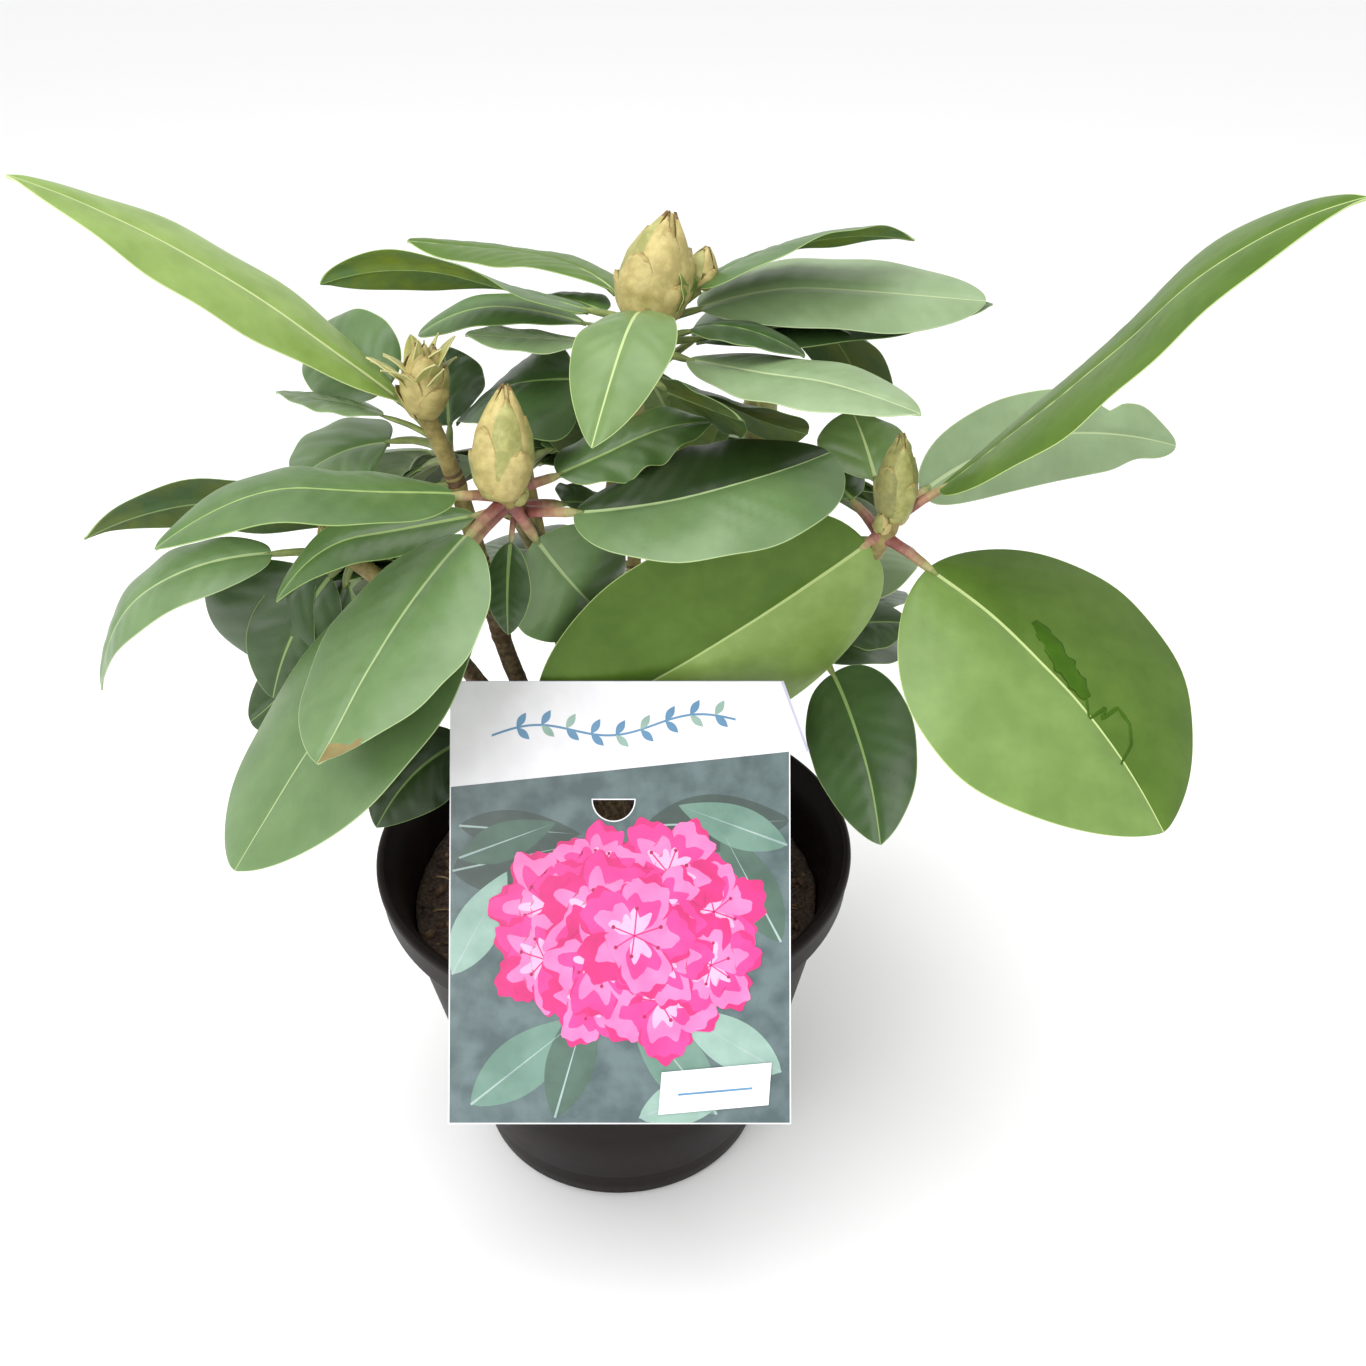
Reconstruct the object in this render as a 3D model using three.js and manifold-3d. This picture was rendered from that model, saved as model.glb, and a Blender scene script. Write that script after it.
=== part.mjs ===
// Potted rhododendron: a young evergreen shrub in a round nursery pot, with its picture card.
// Millimetres, +Z up. The origin is the centre of the pot's flat underside.
// A trunk forks into boughs. Each bough carries one shoot: a stem, its whorl of leaves and its bud.

import * as THREE from 'three';
import { mergeVertices } from 'three/addons/utils/BufferGeometryUtils.js';
import Module from 'manifold-3d';

const wasm = await Module();
wasm.setup();

// ---------------------------------------------------------------- driving dimensions

const CLEAR = 0.3;            // gap between neighbouring solids

const POT_HEIGHT = 130;
const POT_RIM_RADIUS = 85;
const POT_FOOT_RADIUS = 54;
const POT_WALL = 1.6;
const POT_FLOOR = 3;
const POT_BAND_DEPTH = 13;    // rolled band under the rim
const POT_BAND_STEP = 3.2;    // how far the band stands out from the wall
const POT_FOOT_ROUND = 2;     // rounding where the wall meets the foot
const POT_LIP = 1;            // rounding of the rim's outer edge
const POT_BAND_UNDERCUT = 1.6; // the band's foot lies this far inside its widest edge
const POT_RIM_WIDTH = 3;
const POT_SHOULDER = 4;       // below the rim, where the wall runs into the band
const POT_SIDES = 44;
const DRAIN_HOLES = 6;
const DRAIN_RADIUS = 5;
const DRAIN_RING_RADIUS = 40;
const DRAIN_SIDES = 12;

const SOIL_TOP = 104;         // level of the growing medium at the trunk
const SOIL_DISH = 2;          // how far it rises towards the pot wall
const SOIL_BANK = 14;         // width of the steeper ring at the wall
const SOIL_BANK_RISE = 0.6;   // share of the dish that is reached inside that ring

const TRUNK_FORK = 166;       // height where the leader goes on
const TRUNK_FOOT_RADIUS = 9;  // across the root flare
const TRUNK_RADIUS = 5.4;
const TRUNK_TOP_RADIUS = 4.6;
const TRUNK_LEAN = { x: -3, y: 10 };
const FLARE_SHARE = 0.25;     // of the trunk's length, taken by the root flare
const BOUGH_SHARE = 0.62;     // of a limb that is bough; the rest is the shoot's own stem
const STEM_SEAT = 1.1;        // gaps between a bough's tip and its stem, on the curve

const TRUNK_SIDES = 12;
const TRUNK_STEPS = 12;       // rings along the trunk
const LIMB_STEPS = 8;         // rings along a bough
const STEM_STEPS = 5;         // and along a shoot's stem

const STALK_RADIUS = 1.4;     // leaf stalk
const LEAF_THICKNESS = 1.5;   // at the midrib
const STALK_LENGTH = 17;
const BLADE_FOOT = 0.58;      // how pointed a blade's base is
const BLADE_END = 0.8;        // and its end
const BLADE_FALL = 1.6;       // how late it narrows towards its end
const BLADE_ARCH = 0.12;      // how far its edges turn down, as a share of half its width
const BLADE_STATIONS = [0.05, 0.2, 0.42, 0.66, 0.87];
const HOOK_FROM = 0.6;        // share of the leaf's length where a hooked tip begins to curl

const CARD_WIDTH = 106;
const CARD_HEIGHT = 137;
const CARD_THICKNESS = 0.8;
const CARD_BELOW_RIM = 36;    // what hangs in front of the pot, measured down the card
const CARD_LEAN = 34;         // from upright, top towards the plant
const CARD_CENTRE_X = 5;
const CARD_HEAD_RIGHT = 22;   // depth of the head strip at its right end
const CARD_HEAD_JUT = 6;
const CARD_HEAD_SLOPE = 2;
const CARD_SLOT = { x: -2, y: 64, radius: 6.5 };

const BUD_SIDES = 8;
const BUD_ROOT = 3;           // how far a bud's foot is sunk into its stem
// A bud's outline from foot to point: shares of its thickness and of its length.
const BUD_OUTLINE = [[0.45, -0.07], [0.8, 0.08], [1, 0.3], [0.86, 0.55], [0.5, 0.8], [0.16, 0.96]];
const SIDE_BUD_RISE = 74;     // a side bud turns up to this angle
const SIDE_TWIG_SHARE = 0.25; // of its thickness, the radius of its twig
const SIDE_TWIG_SIDES = 6;

const LEAF_SAMPLES = 10;      // steps along a leaf where the room round it is measured
const LIMB_SAMPLES = 25;
const GOLDEN_SHARE = 0.618;   // of the fan, from one fill leaf to the next
const FIRST_SEED = 100;       // of the first shoot's fill
const SEED_STEP = 37;         // from one shoot's seed to the next

// ---------------------------------------------------------------- shoots

// A shoot's fork is the height where its bough leaves the trunk, with the heading given and the
// rise start. Its crown is the foot of its end bud, and the stem comes to it with the lean given,
// or the bud's own. bough and twig are the limb's radii at the fork and at the crown.
// Each leaf: how far below the crown it grows, the azimuth and rise of its tip from there, its
// length with the stalk and its width. Its middle bows up by bow and sideways by sway, its end
// curls down by hook, and it is rolled about its midrib by roll at the foot and twist more at the
// tip. A stalk, foot or end of its own stands in for the usual one.
// fill is the number of leaves that the seeded rule adds, turned through the fan of azimuths.
const SHOOTS = [
  {
    name: 'top', fork: 166, crown: [14, 5, 319], heading: 20, bough: 4.4, twig: 3.6, fill: 3,
    fan: [60, 140], fillRise: [-46, -36], lean: { azimuth: 20, rise: 80 },
    bud: { long: 31, thick: 21, azimuth: 0, rise: 76 },
    leaves: [
      { below: 3, azimuth: -102, rise: -11, long: 64, wide: 28, bow: 18, sway: 4, roll: 4, stalk: 8,
        foot: 0.85 },
      { below: 4, azimuth: 9, rise: -1, long: 104, wide: 37, bow: 8, sway: 10, roll: 20, hook: -6,
        foot: 0.5, end: 0.55 },
      { below: 10, azimuth: -38, rise: 4, long: 94, wide: 28, roll: 10, hook: 4, foot: 0.65 },
      { below: 3, azimuth: 22, rise: 11, long: 90, wide: 32, bow: 12, sway: -3, roll: -6, twist: -30,
        foot: 0.4, end: 1.1 },
      { below: 9, azimuth: 19, rise: 1, long: 117, wide: 30, bow: 1, roll: 4 },
      { below: 3, azimuth: 188, rise: 17, long: 92, wide: 30, bow: 2, roll: -17, twist: 75, hook: 11,
        foot: 0.6 },
      { below: 4, azimuth: 150, rise: 4, long: 88, wide: 42, bow: 8, sway: -18, roll: 20, twist: -15,
        hook: -8, foot: 0.6, end: 0.7 },
      { below: 8, azimuth: 172, rise: 6, long: 68, wide: 17, bow: 5, roll: -12, twist: -6, hook: 8,
        foot: 0.75, end: 0.55 },
      { below: 8, azimuth: -167, rise: 8, long: 52, wide: 24, roll: 12, twist: -16 },
      { below: 6, azimuth: 135, rise: -3, long: 60, wide: 26, bow: 6 },
      { below: 12, azimuth: -19, rise: 7, long: 51, wide: 27, bow: 9, roll: -5 },
      { below: 24, azimuth: 31, rise: -14, long: 95, wide: 52, bow: 31, roll: -7, end: 0.55 },
      { below: 20, azimuth: -18, rise: -15, long: 54, wide: 34, bow: 6, sway: -3, roll: -9, twist: -40,
        hook: -5, foot: 0.75, end: 0.55 },
      { below: 22, azimuth: 184, rise: -1, long: 55, wide: 56, bow: 6, sway: 6, roll: -40, twist: 58,
        hook: 9, foot: 0.4, end: 1.1 },
      { below: 0, azimuth: 40, rise: 72, long: 24, wide: 9, bow: 3, stalk: 4 },
      { below: 18, azimuth: -53, rise: 3, long: 50, wide: 30, roll: -45 },
    ],
    sideBuds: [{ below: 3, azimuth: 20, rise: 32, out: 19, long: 12, thick: 10 }],
  },
  {
    name: 'front_left', fork: 142, crown: [-26, -40, 284], heading: -95, start: 72,
    lean: { azimuth: -97, rise: 34 }, bough: 3.6, twig: 3, fill: 0,
    bud: { long: 30, thick: 16.5, azimuth: 60, rise: 80 },
    leaves: [
      { below: 8, azimuth: -158, rise: 12, long: 94, wide: 32, bow: 3, sway: 6, roll: -5, hook: 18,
        foot: 0.45, end: 0.7 },
      { below: 8, azimuth: -121, rise: -28, long: 94, wide: 51, bow: 3, sway: -5, roll: 8, hook: -5,
        foot: 0.5 },
      { below: 12, azimuth: -136, rise: -37, long: 128, wide: 68, sway: -6, roll: 4, foot: 0.5, end: 0.65 },
      { below: 20, azimuth: 4, rise: 10, long: 92, wide: 49, bow: 3, sway: -18, roll: 15, foot: 0.55,
        end: 0.5 },
      { below: 5, azimuth: 25, rise: 17, long: 65, wide: 28, bow: -4, sway: 4, roll: 11, hook: 9,
        foot: 0.45, end: 0.75 },
      { below: 9, azimuth: 44, rise: -56, long: 66, wide: 42, bow: -3, sway: -3, roll: 100 },
      { below: 17, azimuth: -105, rise: -70, long: 38, wide: 14, bow: 3, stalk: 10 },
      { below: 18, azimuth: 40, rise: -16, long: 42, wide: 30, bow: 2, roll: 11 },
      { below: 17, azimuth: -171, rise: -7, long: 74, wide: 20, roll: -20, hook: 16, stalk: 12 },
    ],
    sideBuds: [
      { below: 5, azimuth: -140, rise: 20, out: 4, long: 8, thick: 6 },
      { below: 14, azimuth: -60, rise: 30, out: 4, long: 9, thick: 6 },
      { below: 26, azimuth: -150, rise: 35, out: 4, long: 9, thick: 6 },
    ],
  },
  {
    name: 'high_left', fork: 154, crown: [-50, -15, 297], heading: 184, start: 31,
    lean: { azimuth: -157, rise: 67 }, bough: 3.2, twig: 2.6, fill: 3, fan: [80, 160],
    fillRise: [-40, -24],
    bud: { long: 20, thick: 13, azimuth: 60, rise: 80 },
    leaves: [
      { below: 4, azimuth: -177, rise: 36, long: 125, wide: 35, bow: 3, sway: -5, roll: -15, twist: 12,
        hook: 2, stalk: 10, foot: 0.75, end: 0.9 },
      { below: 8, azimuth: 139, rise: 17, long: 59, wide: 30, bow: 10, sway: 6, roll: -39, foot: 0.4,
        end: 0.6 },
      { below: 10, azimuth: 179, rise: 16, long: 48, wide: 20, bow: 4, roll: 8, hook: -2, foot: 0.6,
        end: 0.9 },
      { below: 12, azimuth: -174, rise: -7, long: 43, wide: 40, sway: -13, roll: -11, hook: 2,
        foot: 0.4, end: 0.7 },
      { below: 25, azimuth: -174, rise: 3, long: 110, wide: 30, bow: -4, sway: 4, roll: 51, twist: 10,
        hook: 18, foot: 0.55, end: 1.1 },
      { below: 1, azimuth: -165, rise: 52, long: 24, wide: 8, bow: 3, stalk: 3 },
      { below: 1, azimuth: 20, rise: 66, long: 25, wide: 8, bow: 3, stalk: 3 },
      { below: 1, azimuth: -60, rise: 60, long: 22, wide: 8, bow: 3, stalk: 3 },
      { below: 1, azimuth: 110, rise: 58, long: 24, wide: 8, bow: 3, stalk: 3 },
      { below: 19, azimuth: 98, rise: 38, long: 42, wide: 27, bow: -4, roll: -35 },
    ],
  },
  {
    name: 'right', fork: 156, crown: [87, -20, 267], heading: -15, lean: { azimuth: -60, rise: 68 },
    bough: 3.6, twig: 3, fill: 0,
    bud: { long: 25, thick: 12, azimuth: 70, rise: 82 },
    leaves: [
      { below: 6, azimuth: -175, rise: -33, long: 127, wide: 74, bow: -4, roll: -95, stalk: 7,
        foot: 0.4, end: 0.55 },
      { below: 9, azimuth: -44, rise: -26, long: 118, wide: 88, bow: 6, sway: 2, roll: 13, hook: 5,
        foot: 0.5, end: 0.7 },
      { below: 3, azimuth: -32, rise: 52, long: 151, wide: 50, bow: -6, sway: 14, roll: 5, twist: 18,
        hook: 18, foot: 0.4, end: 0.95 },
      { below: 4, azimuth: 30, rise: 1, long: 120, wide: 30, bow: 9, sway: 11, roll: 60, hook: 2,
        foot: 0.4, end: 0.55 },
      { below: 5, azimuth: 100, rise: 25, long: 48, wide: 30, bow: 3 },
      { below: 10, azimuth: 120, rise: 11, long: 56, wide: 28, bow: 4 },
    ],
    sideBuds: [
      { below: 6, azimuth: -20, rise: 45, out: 4, long: 9, thick: 5.5 },
      { below: 8, azimuth: -110, rise: 35, out: 4, long: 8, thick: 5.5 },
    ],
  },
  {
    name: 'low_left', fork: 133, crown: [-80, -22, 257], heading: 178, lean: { azimuth: -165, rise: 40 },
    bough: 3.2, twig: 2.6, fill: 3, fan: [90, 165], fillRise: [-44, -26],
    bud: { long: 9, thick: 6, azimuth: 200, rise: 70 },
    leaves: [
      { below: 4, azimuth: -171, rise: -23, long: 89, wide: 28, bow: 20, sway: 7, roll: -11, twist: -6,
        hook: 6, foot: 0.4, end: 0.9 },
      { below: 5, azimuth: 180, rise: -47, long: 50, wide: 41, bow: 8, sway: 6, roll: -74, stalk: 8,
        foot: 0.95, end: 0.55 },
      { below: 7, azimuth: -166, rise: -57, long: 65, wide: 33, bow: -2, roll: -30, hook: -4, stalk: 8,
        foot: 0.6, end: 0.55 },
      { below: 5, azimuth: -155, rise: -56, long: 52, wide: 27, bow: 4, roll: -65, stalk: 8 },
      { below: 5, azimuth: 50, rise: -25, long: 32, wide: 26, bow: 3, stalk: 8 },
      { below: 9, azimuth: 6, rise: 24, long: 34, wide: 30, bow: 2, roll: -10, stalk: 6 },
    ],
  },
  {
    name: 'low_right', fork: 130, crown: [68, 2, 214], heading: -35, bough: 3.2, twig: 2.6, fill: 3,
    fan: [5, 95], fillRise: [-20, 4],
    bud: { long: 9, thick: 6, azimuth: 0, rise: 60 },
    leaves: [
      { below: 2, azimuth: -77, rise: -21, long: 79, wide: 35, bow: 3, sway: 3, roll: 35, hook: 2,
        foot: 0.35, end: 0.7 },
      { below: 3, azimuth: 5, rise: 8, long: 34, wide: 22, bow: 3, roll: 20, stalk: 8 },
    ],
  },
  {
    name: 'low_front', fork: 119, crown: [-32, -14, 188], heading: -160, start: 45, bough: 3, twig: 2.4,
    fill: 0,
    bud: { long: 9, thick: 6, azimuth: -60, rise: 60 },
    leaves: [
      { below: 3, azimuth: -139, rise: -13, long: 55, wide: 27, bow: 9, roll: -40, hook: 2, foot: 0.55 },
    ],
  },
  {
    name: 'back_right', fork: 140, crown: [50, 62, 258], heading: 50, bough: 3.6, twig: 3, fill: 7,
    fan: [-20, 120], fillRise: [-34, -6],
    bud: { long: 24, thick: 12, azimuth: 50, rise: 80 },
    leaves: [],
  },
  {
    name: 'back_left', fork: 146, crown: [-34, 68, 262], heading: 115, bough: 3.6, twig: 3, fill: 7,
    fan: [60, 205], fillRise: [-34, -6],
    bud: { long: 14, thick: 8, azimuth: 120, rise: 80 },
    leaves: [],
  },
  {
    name: 'back_low', fork: 124, crown: [6, 80, 206], heading: 92, bough: 3.2, twig: 2.6, fill: 6,
    fan: [15, 165], fillRise: [-20, 4],
    bud: { long: 18, thick: 9, azimuth: 90, rise: 75 },
    leaves: [],
  },
];

// Leaves that fill out a shoot grow by the seeded rule below, within these limits.
const FILL = {
  below: [4, 22],
  long: [84, 112],
  slender: [0.36, 0.44],      // width as a share of the length
  bow: [4, 12],
  roll: [-16, 16],
  tries: 7,                   // places tried for a leaf before it is left out
  retry: 0.13,                // share of the fan from one try to the next
  room: 8,                    // nearest that two leaves of different shoots may come
};
const CROWN_BACK = 168;       // the fill leaves keep this near to the trunk
const CROWN_HALF_WIDTH = 118; // and this near to the middle
const CROWN_FLOOR = 150;      // and above the pot's rim

// ---------------------------------------------------------------- small helpers

const point = (x, y, z) => new THREE.Vector3(x, y, z);
const radians = THREE.MathUtils.degToRad;
const UP = point(0, 0, 1);

function direction(azimuth, rise) {
  const a = radians(azimuth);
  const r = radians(rise);
  return point(Math.cos(a) * Math.cos(r), Math.sin(a) * Math.cos(r), Math.sin(r));
}

// Minimal standard generator: the same seeds give the same plant.
function seeded(seed) {
  let state = seed;
  return () => {
    state = (state * 16807) % 2147483647;
    return state / 2147483647;
  };
}

function solidOf(geometry) {
  const bare = geometry.clone();
  bare.deleteAttribute('normal');
  bare.deleteAttribute('uv');
  const merged = mergeVertices(bare, 1e-4);
  return new wasm.Manifold(new wasm.Mesh({
    numProp: 3,
    vertProperties: new Float32Array(merged.attributes.position.array),
    triVerts: new Uint32Array(merged.index.array),
  }));
}

function geometryOf(solid) {
  const mesh = solid.getMesh();
  const geometry = new THREE.BufferGeometry();
  geometry.setAttribute('position', new THREE.Float32BufferAttribute(mesh.vertProperties, 3));
  geometry.setIndex(Array.from(mesh.triVerts));
  geometry.computeVertexNormals();
  return geometry;
}

// Closed skin over rings of equal counts, each ring turning left about the way it is passed.
// With a tip, the last ring closes to that point.
function skin(rings, tip) {
  const count = rings[0].length;
  const positions = rings.flat().flatMap((p) => [p.x, p.y, p.z]);
  const index = [];
  const at = (ring, k) => ring * count + (k % count);
  for (let ring = 0; ring + 1 < rings.length; ring += 1) {
    for (let k = 0; k < count; k += 1) {
      index.push(at(ring, k), at(ring, k + 1), at(ring + 1, k));
      index.push(at(ring, k + 1), at(ring + 1, k + 1), at(ring + 1, k));
    }
  }
  const last = rings.length - 1;
  for (let k = 1; k + 1 < count; k += 1) index.push(at(0, 0), at(0, k + 1), at(0, k));
  if (tip) {
    positions.push(tip.x, tip.y, tip.z);
    for (let k = 0; k < count; k += 1) index.push(at(last, k), at(last, k + 1), rings.length * count);
  } else {
    for (let k = 1; k + 1 < count; k += 1) index.push(at(last, 0), at(last, k), at(last, k + 1));
  }
  const geometry = new THREE.BufferGeometry();
  geometry.setAttribute('position', new THREE.Float32BufferAttribute(positions, 3));
  geometry.setIndex(index);
  return solidOf(geometry);
}

// Round limb along a curve from t = start to t = end; radius is a function of t.
function limb(curve, start, end, radius, steps, sides = 8) {
  const rings = [];
  let side = point(0.3, 1, 0.2);
  for (let step = 0; step <= steps; step += 1) {
    const t = start + ((end - start) * step) / steps;
    const centre = curve.getPoint(t);
    const along = curve.getTangent(t);
    side = side.clone().addScaledVector(along, -side.dot(along)).normalize();
    const other = along.clone().cross(side);
    const ring = [];
    for (let k = 0; k < sides; k += 1) {
      const angle = (2 * Math.PI * k) / sides;
      ring.push(centre.clone()
        .addScaledVector(side, radius(t) * Math.cos(angle))
        .addScaledVector(other, radius(t) * Math.sin(angle)));
    }
    rings.push(ring);
  }
  return skin(rings);
}

// ---------------------------------------------------------------- leaf

// Half width of the blade along its length, 1 at the widest. A lower foot or end is rounder.
function bladeWidth(q, { foot = BLADE_FOOT, end = BLADE_END }) {
  const outline = (at) => at ** foot * (1 - at ** BLADE_FALL) ** end;
  const widest = (foot / (foot + BLADE_FALL * end)) ** (1 / BLADE_FALL);
  return outline(q) / outline(widest);
}

// Midrib of a leaf: a straight chord bowed by its shape values.
function midrib(root, leaf) {
  const along = direction(leaf.azimuth, leaf.rise);
  const left = direction(leaf.azimuth + 90, 0);
  const up = along.clone().cross(left);
  const at = (s) => {
    const swell = 4 * s * (1 - s);
    const curl = Math.max(0, (s - HOOK_FROM) / (1 - HOOK_FROM)) ** 2;
    return root.clone()
      .addScaledVector(along, leaf.long * s)
      .addScaledVector(up, (leaf.bow || 0) * swell - (leaf.hook || 0) * curl)
      .addScaledVector(left, (leaf.sway || 0) * swell);
  };
  const frame = (s) => {
    const tangent = at(s + 0.01).sub(at(s - 0.01)).normalize();
    const flat = left.clone().addScaledVector(tangent, -left.dot(tangent)).normalize();
    const roll = radians((leaf.roll || 0) + (leaf.twist || 0) * s);
    const normal = tangent.clone().cross(flat);
    const across = flat.clone().multiplyScalar(Math.cos(roll)).addScaledVector(normal, Math.sin(roll));
    return { across, normal: tangent.clone().cross(across) };
  };
  return { at, frame };
}

function leafSolid(root, leaf) {
  const { at, frame } = midrib(root, leaf);
  const stalk = (leaf.stalk ?? STALK_LENGTH) / leaf.long;
  const section = (s, offsets) => {
    const { across, normal } = frame(s);
    const centre = at(s);
    return offsets.map(([a, n]) => centre.clone().addScaledVector(across, a).addScaledVector(normal, n));
  };
  const round = (r) => [[r, 0], [0.6 * r, 0.8 * r], [0, r], [-0.6 * r, 0.8 * r], [-r, 0], [0, -r]];
  const blade = (q) => {
    const w = (leaf.wide / 2) * bladeWidth(q, leaf);
    const edge = -BLADE_ARCH * w;
    return [[w, edge], [w / 2, edge / 4], [0, 0], [-w / 2, edge / 4], [-w, edge],
      [0, -LEAF_THICKNESS]];
  };
  const rings = [section(0, round(STALK_RADIUS)), section(stalk * 0.9, round(STALK_RADIUS * 0.8))];
  for (const q of BLADE_STATIONS) rings.push(section(stalk + (1 - stalk) * q, blade(q)));
  return skin(rings, at(1));
}

// ---------------------------------------------------------------- pot, soil, card

function lathe(profile) {
  const geometry = new THREE.LatheGeometry(profile.map(([r, z]) => new THREE.Vector2(r, z)), POT_SIDES);
  geometry.rotateX(Math.PI / 2);
  return geometry;
}

const wallAt = (z) => THREE.MathUtils.lerp(
  POT_FOOT_RADIUS, POT_RIM_RADIUS - POT_BAND_STEP - 1, z / POT_HEIGHT);

function potGeometry() {
  const bandFoot = POT_HEIGHT - POT_BAND_DEPTH;
  const shell = solidOf(lathe([
    [0, 0],
    [POT_FOOT_RADIUS - POT_FOOT_ROUND, 0],
    [wallAt(POT_FLOOR), POT_FLOOR],
    [wallAt(bandFoot), bandFoot],
    [POT_RIM_RADIUS - POT_BAND_UNDERCUT, bandFoot + POT_BAND_UNDERCUT / 2],
    [POT_RIM_RADIUS, POT_HEIGHT - 2 * POT_LIP],
    [POT_RIM_RADIUS - POT_LIP, POT_HEIGHT],
    [POT_RIM_RADIUS - POT_RIM_WIDTH, POT_HEIGHT],
    [wallAt(POT_HEIGHT - POT_SHOULDER) - POT_WALL, POT_HEIGHT - POT_SHOULDER],
    [wallAt(POT_FLOOR) - POT_WALL, POT_FLOOR],
    [0, POT_FLOOR],
  ]));
  const holes = [];
  for (let k = 0; k < DRAIN_HOLES; k += 1) {
    const hole = new THREE.CylinderGeometry(DRAIN_RADIUS, DRAIN_RADIUS, POT_FLOOR * 4, DRAIN_SIDES);
    hole.rotateX(Math.PI / 2);
    hole.translate(DRAIN_RING_RADIUS, 0, 0);
    hole.rotateZ((2 * Math.PI * (k + 0.5)) / DRAIN_HOLES);
    holes.push(solidOf(hole));
  }
  return geometryOf(shell.subtract(wasm.Manifold.union(holes)));
}

function soilGeometry() {
  const inner = (z) => wallAt(z) - POT_WALL - CLEAR;
  const foot = POT_FLOOR + CLEAR;
  const shoulder = SOIL_TOP + SOIL_DISH;
  return geometryOf(solidOf(lathe([
    [0, foot],
    [inner(foot), foot],
    [inner(shoulder), shoulder],
    [inner(shoulder) - SOIL_BANK, SOIL_TOP + SOIL_DISH * SOIL_BANK_RISE],
    [TRUNK_FOOT_RADIUS * 3, SOIL_TOP],
    [0, SOIL_TOP],
  ])));
}

// The card is drawn flat, x across and y up from the line where it lies on the pot's rim. Its
// white head strip slants and stands out past the right edge. A half-moon slot is punched in it.
function cardShape() {
  const left = -CARD_WIDTH / 2;
  const right = CARD_WIDTH / 2;
  const top = CARD_HEIGHT - CARD_BELOW_RIM;
  const shape = new THREE.Shape();
  shape.moveTo(left, -CARD_BELOW_RIM);
  shape.lineTo(right, -CARD_BELOW_RIM);
  shape.lineTo(right, top - CARD_HEAD_RIGHT);
  shape.lineTo(right + CARD_HEAD_JUT, top - CARD_HEAD_RIGHT);
  shape.lineTo(right - CARD_HEAD_SLOPE, top);
  shape.lineTo(left, top);
  shape.closePath();
  const slot = new THREE.Path();
  slot.absarc(CARD_SLOT.x, CARD_SLOT.y, CARD_SLOT.radius, Math.PI, 2 * Math.PI, false);
  slot.closePath();
  shape.holes.push(slot);
  return shape;
}

function cardGeometry() {
  const geometry = new THREE.ExtrudeGeometry(cardShape(), {
    depth: CARD_THICKNESS, bevelEnabled: false, curveSegments: 8,
  });
  geometry.rotateX(Math.PI / 2 - radians(CARD_LEAN));
  const standoff = CLEAR / Math.cos(radians(CARD_LEAN));
  geometry.translate(CARD_CENTRE_X, POT_LIP - POT_RIM_RADIUS - standoff, POT_HEIGHT);
  return geometryOf(solidOf(geometry));
}

// ---------------------------------------------------------------- limbs and shoots

const trunkFoot = point(0, 0, SOIL_TOP + CLEAR);
const trunkTop = point(TRUNK_LEAN.x, TRUNK_LEAN.y, TRUNK_FORK);
const trunkCurve = new THREE.QuadraticBezierCurve3(
  trunkFoot,
  point(0, 0, (SOIL_TOP + TRUNK_FORK) / 2),
  trunkTop,
);

// Root flare at the foot, then an even taper.
function trunkRadius(t) {
  const flare = (TRUNK_FOOT_RADIUS - TRUNK_RADIUS) * (1 - Math.min(1, t / FLARE_SHARE)) ** 2;
  return THREE.MathUtils.lerp(TRUNK_RADIUS, TRUNK_TOP_RADIUS, t) + flare;
}

const trunkSolid = limb(trunkCurve, 0, 1, trunkRadius, TRUNK_STEPS, TRUNK_SIDES);
const trunkRoom = limb(
  trunkCurve, 0, 1, (t) => trunkRadius(t) + CLEAR, TRUNK_STEPS, TRUNK_SIDES);

function shootCurve(shoot) {
  const t = (shoot.fork - SOIL_TOP) / (TRUNK_FORK - SOIL_TOP);
  const start = t < 1 ? trunkCurve.getPoint(t) : trunkTop.clone().addScaledVector(UP, CLEAR);
  const crown = point(...shoot.crown);
  const reach = start.distanceTo(crown) / 3;
  const out = t < 1 ? direction(shoot.heading, shoot.start ?? 40) : trunkCurve.getTangent(1);
  const lean = shoot.lean || shoot.bud;
  return new THREE.CubicBezierCurve3(
    start,
    start.clone().addScaledVector(out, reach),
    crown.clone().addScaledVector(direction(lean.azimuth, lean.rise), -reach),
    crown,
  );
}

function budSolid(crown, bud) {
  const outline = [new THREE.Vector2(0, -BUD_ROOT)];
  for (const [wide, up] of BUD_OUTLINE) outline.push(new THREE.Vector2((wide * bud.thick) / 2, up * bud.long));
  outline.push(new THREE.Vector2(0, bud.long));
  const geometry = new THREE.LatheGeometry(outline, BUD_SIDES);
  geometry.applyQuaternion(new THREE.Quaternion().setFromUnitVectors(
    point(0, 1, 0), direction(bud.azimuth, bud.rise)));
  geometry.translate(crown.x, crown.y, crown.z);
  return solidOf(geometry);
}

// A bud on a short twig of its own, which stands out from the stem and turns up.
function sideBudSolids(root, bud) {
  const foot = root.clone().addScaledVector(direction(bud.azimuth, bud.rise), bud.out);
  const twig = new THREE.LineCurve3(root, foot);
  return [
    limb(twig, 0, 1, () => bud.thick * SIDE_TWIG_SHARE, 1, SIDE_TWIG_SIDES),
    budSolid(foot, { long: bud.long, thick: bud.thick, azimuth: bud.azimuth, rise: SIDE_BUD_RISE }),
  ];
}

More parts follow.
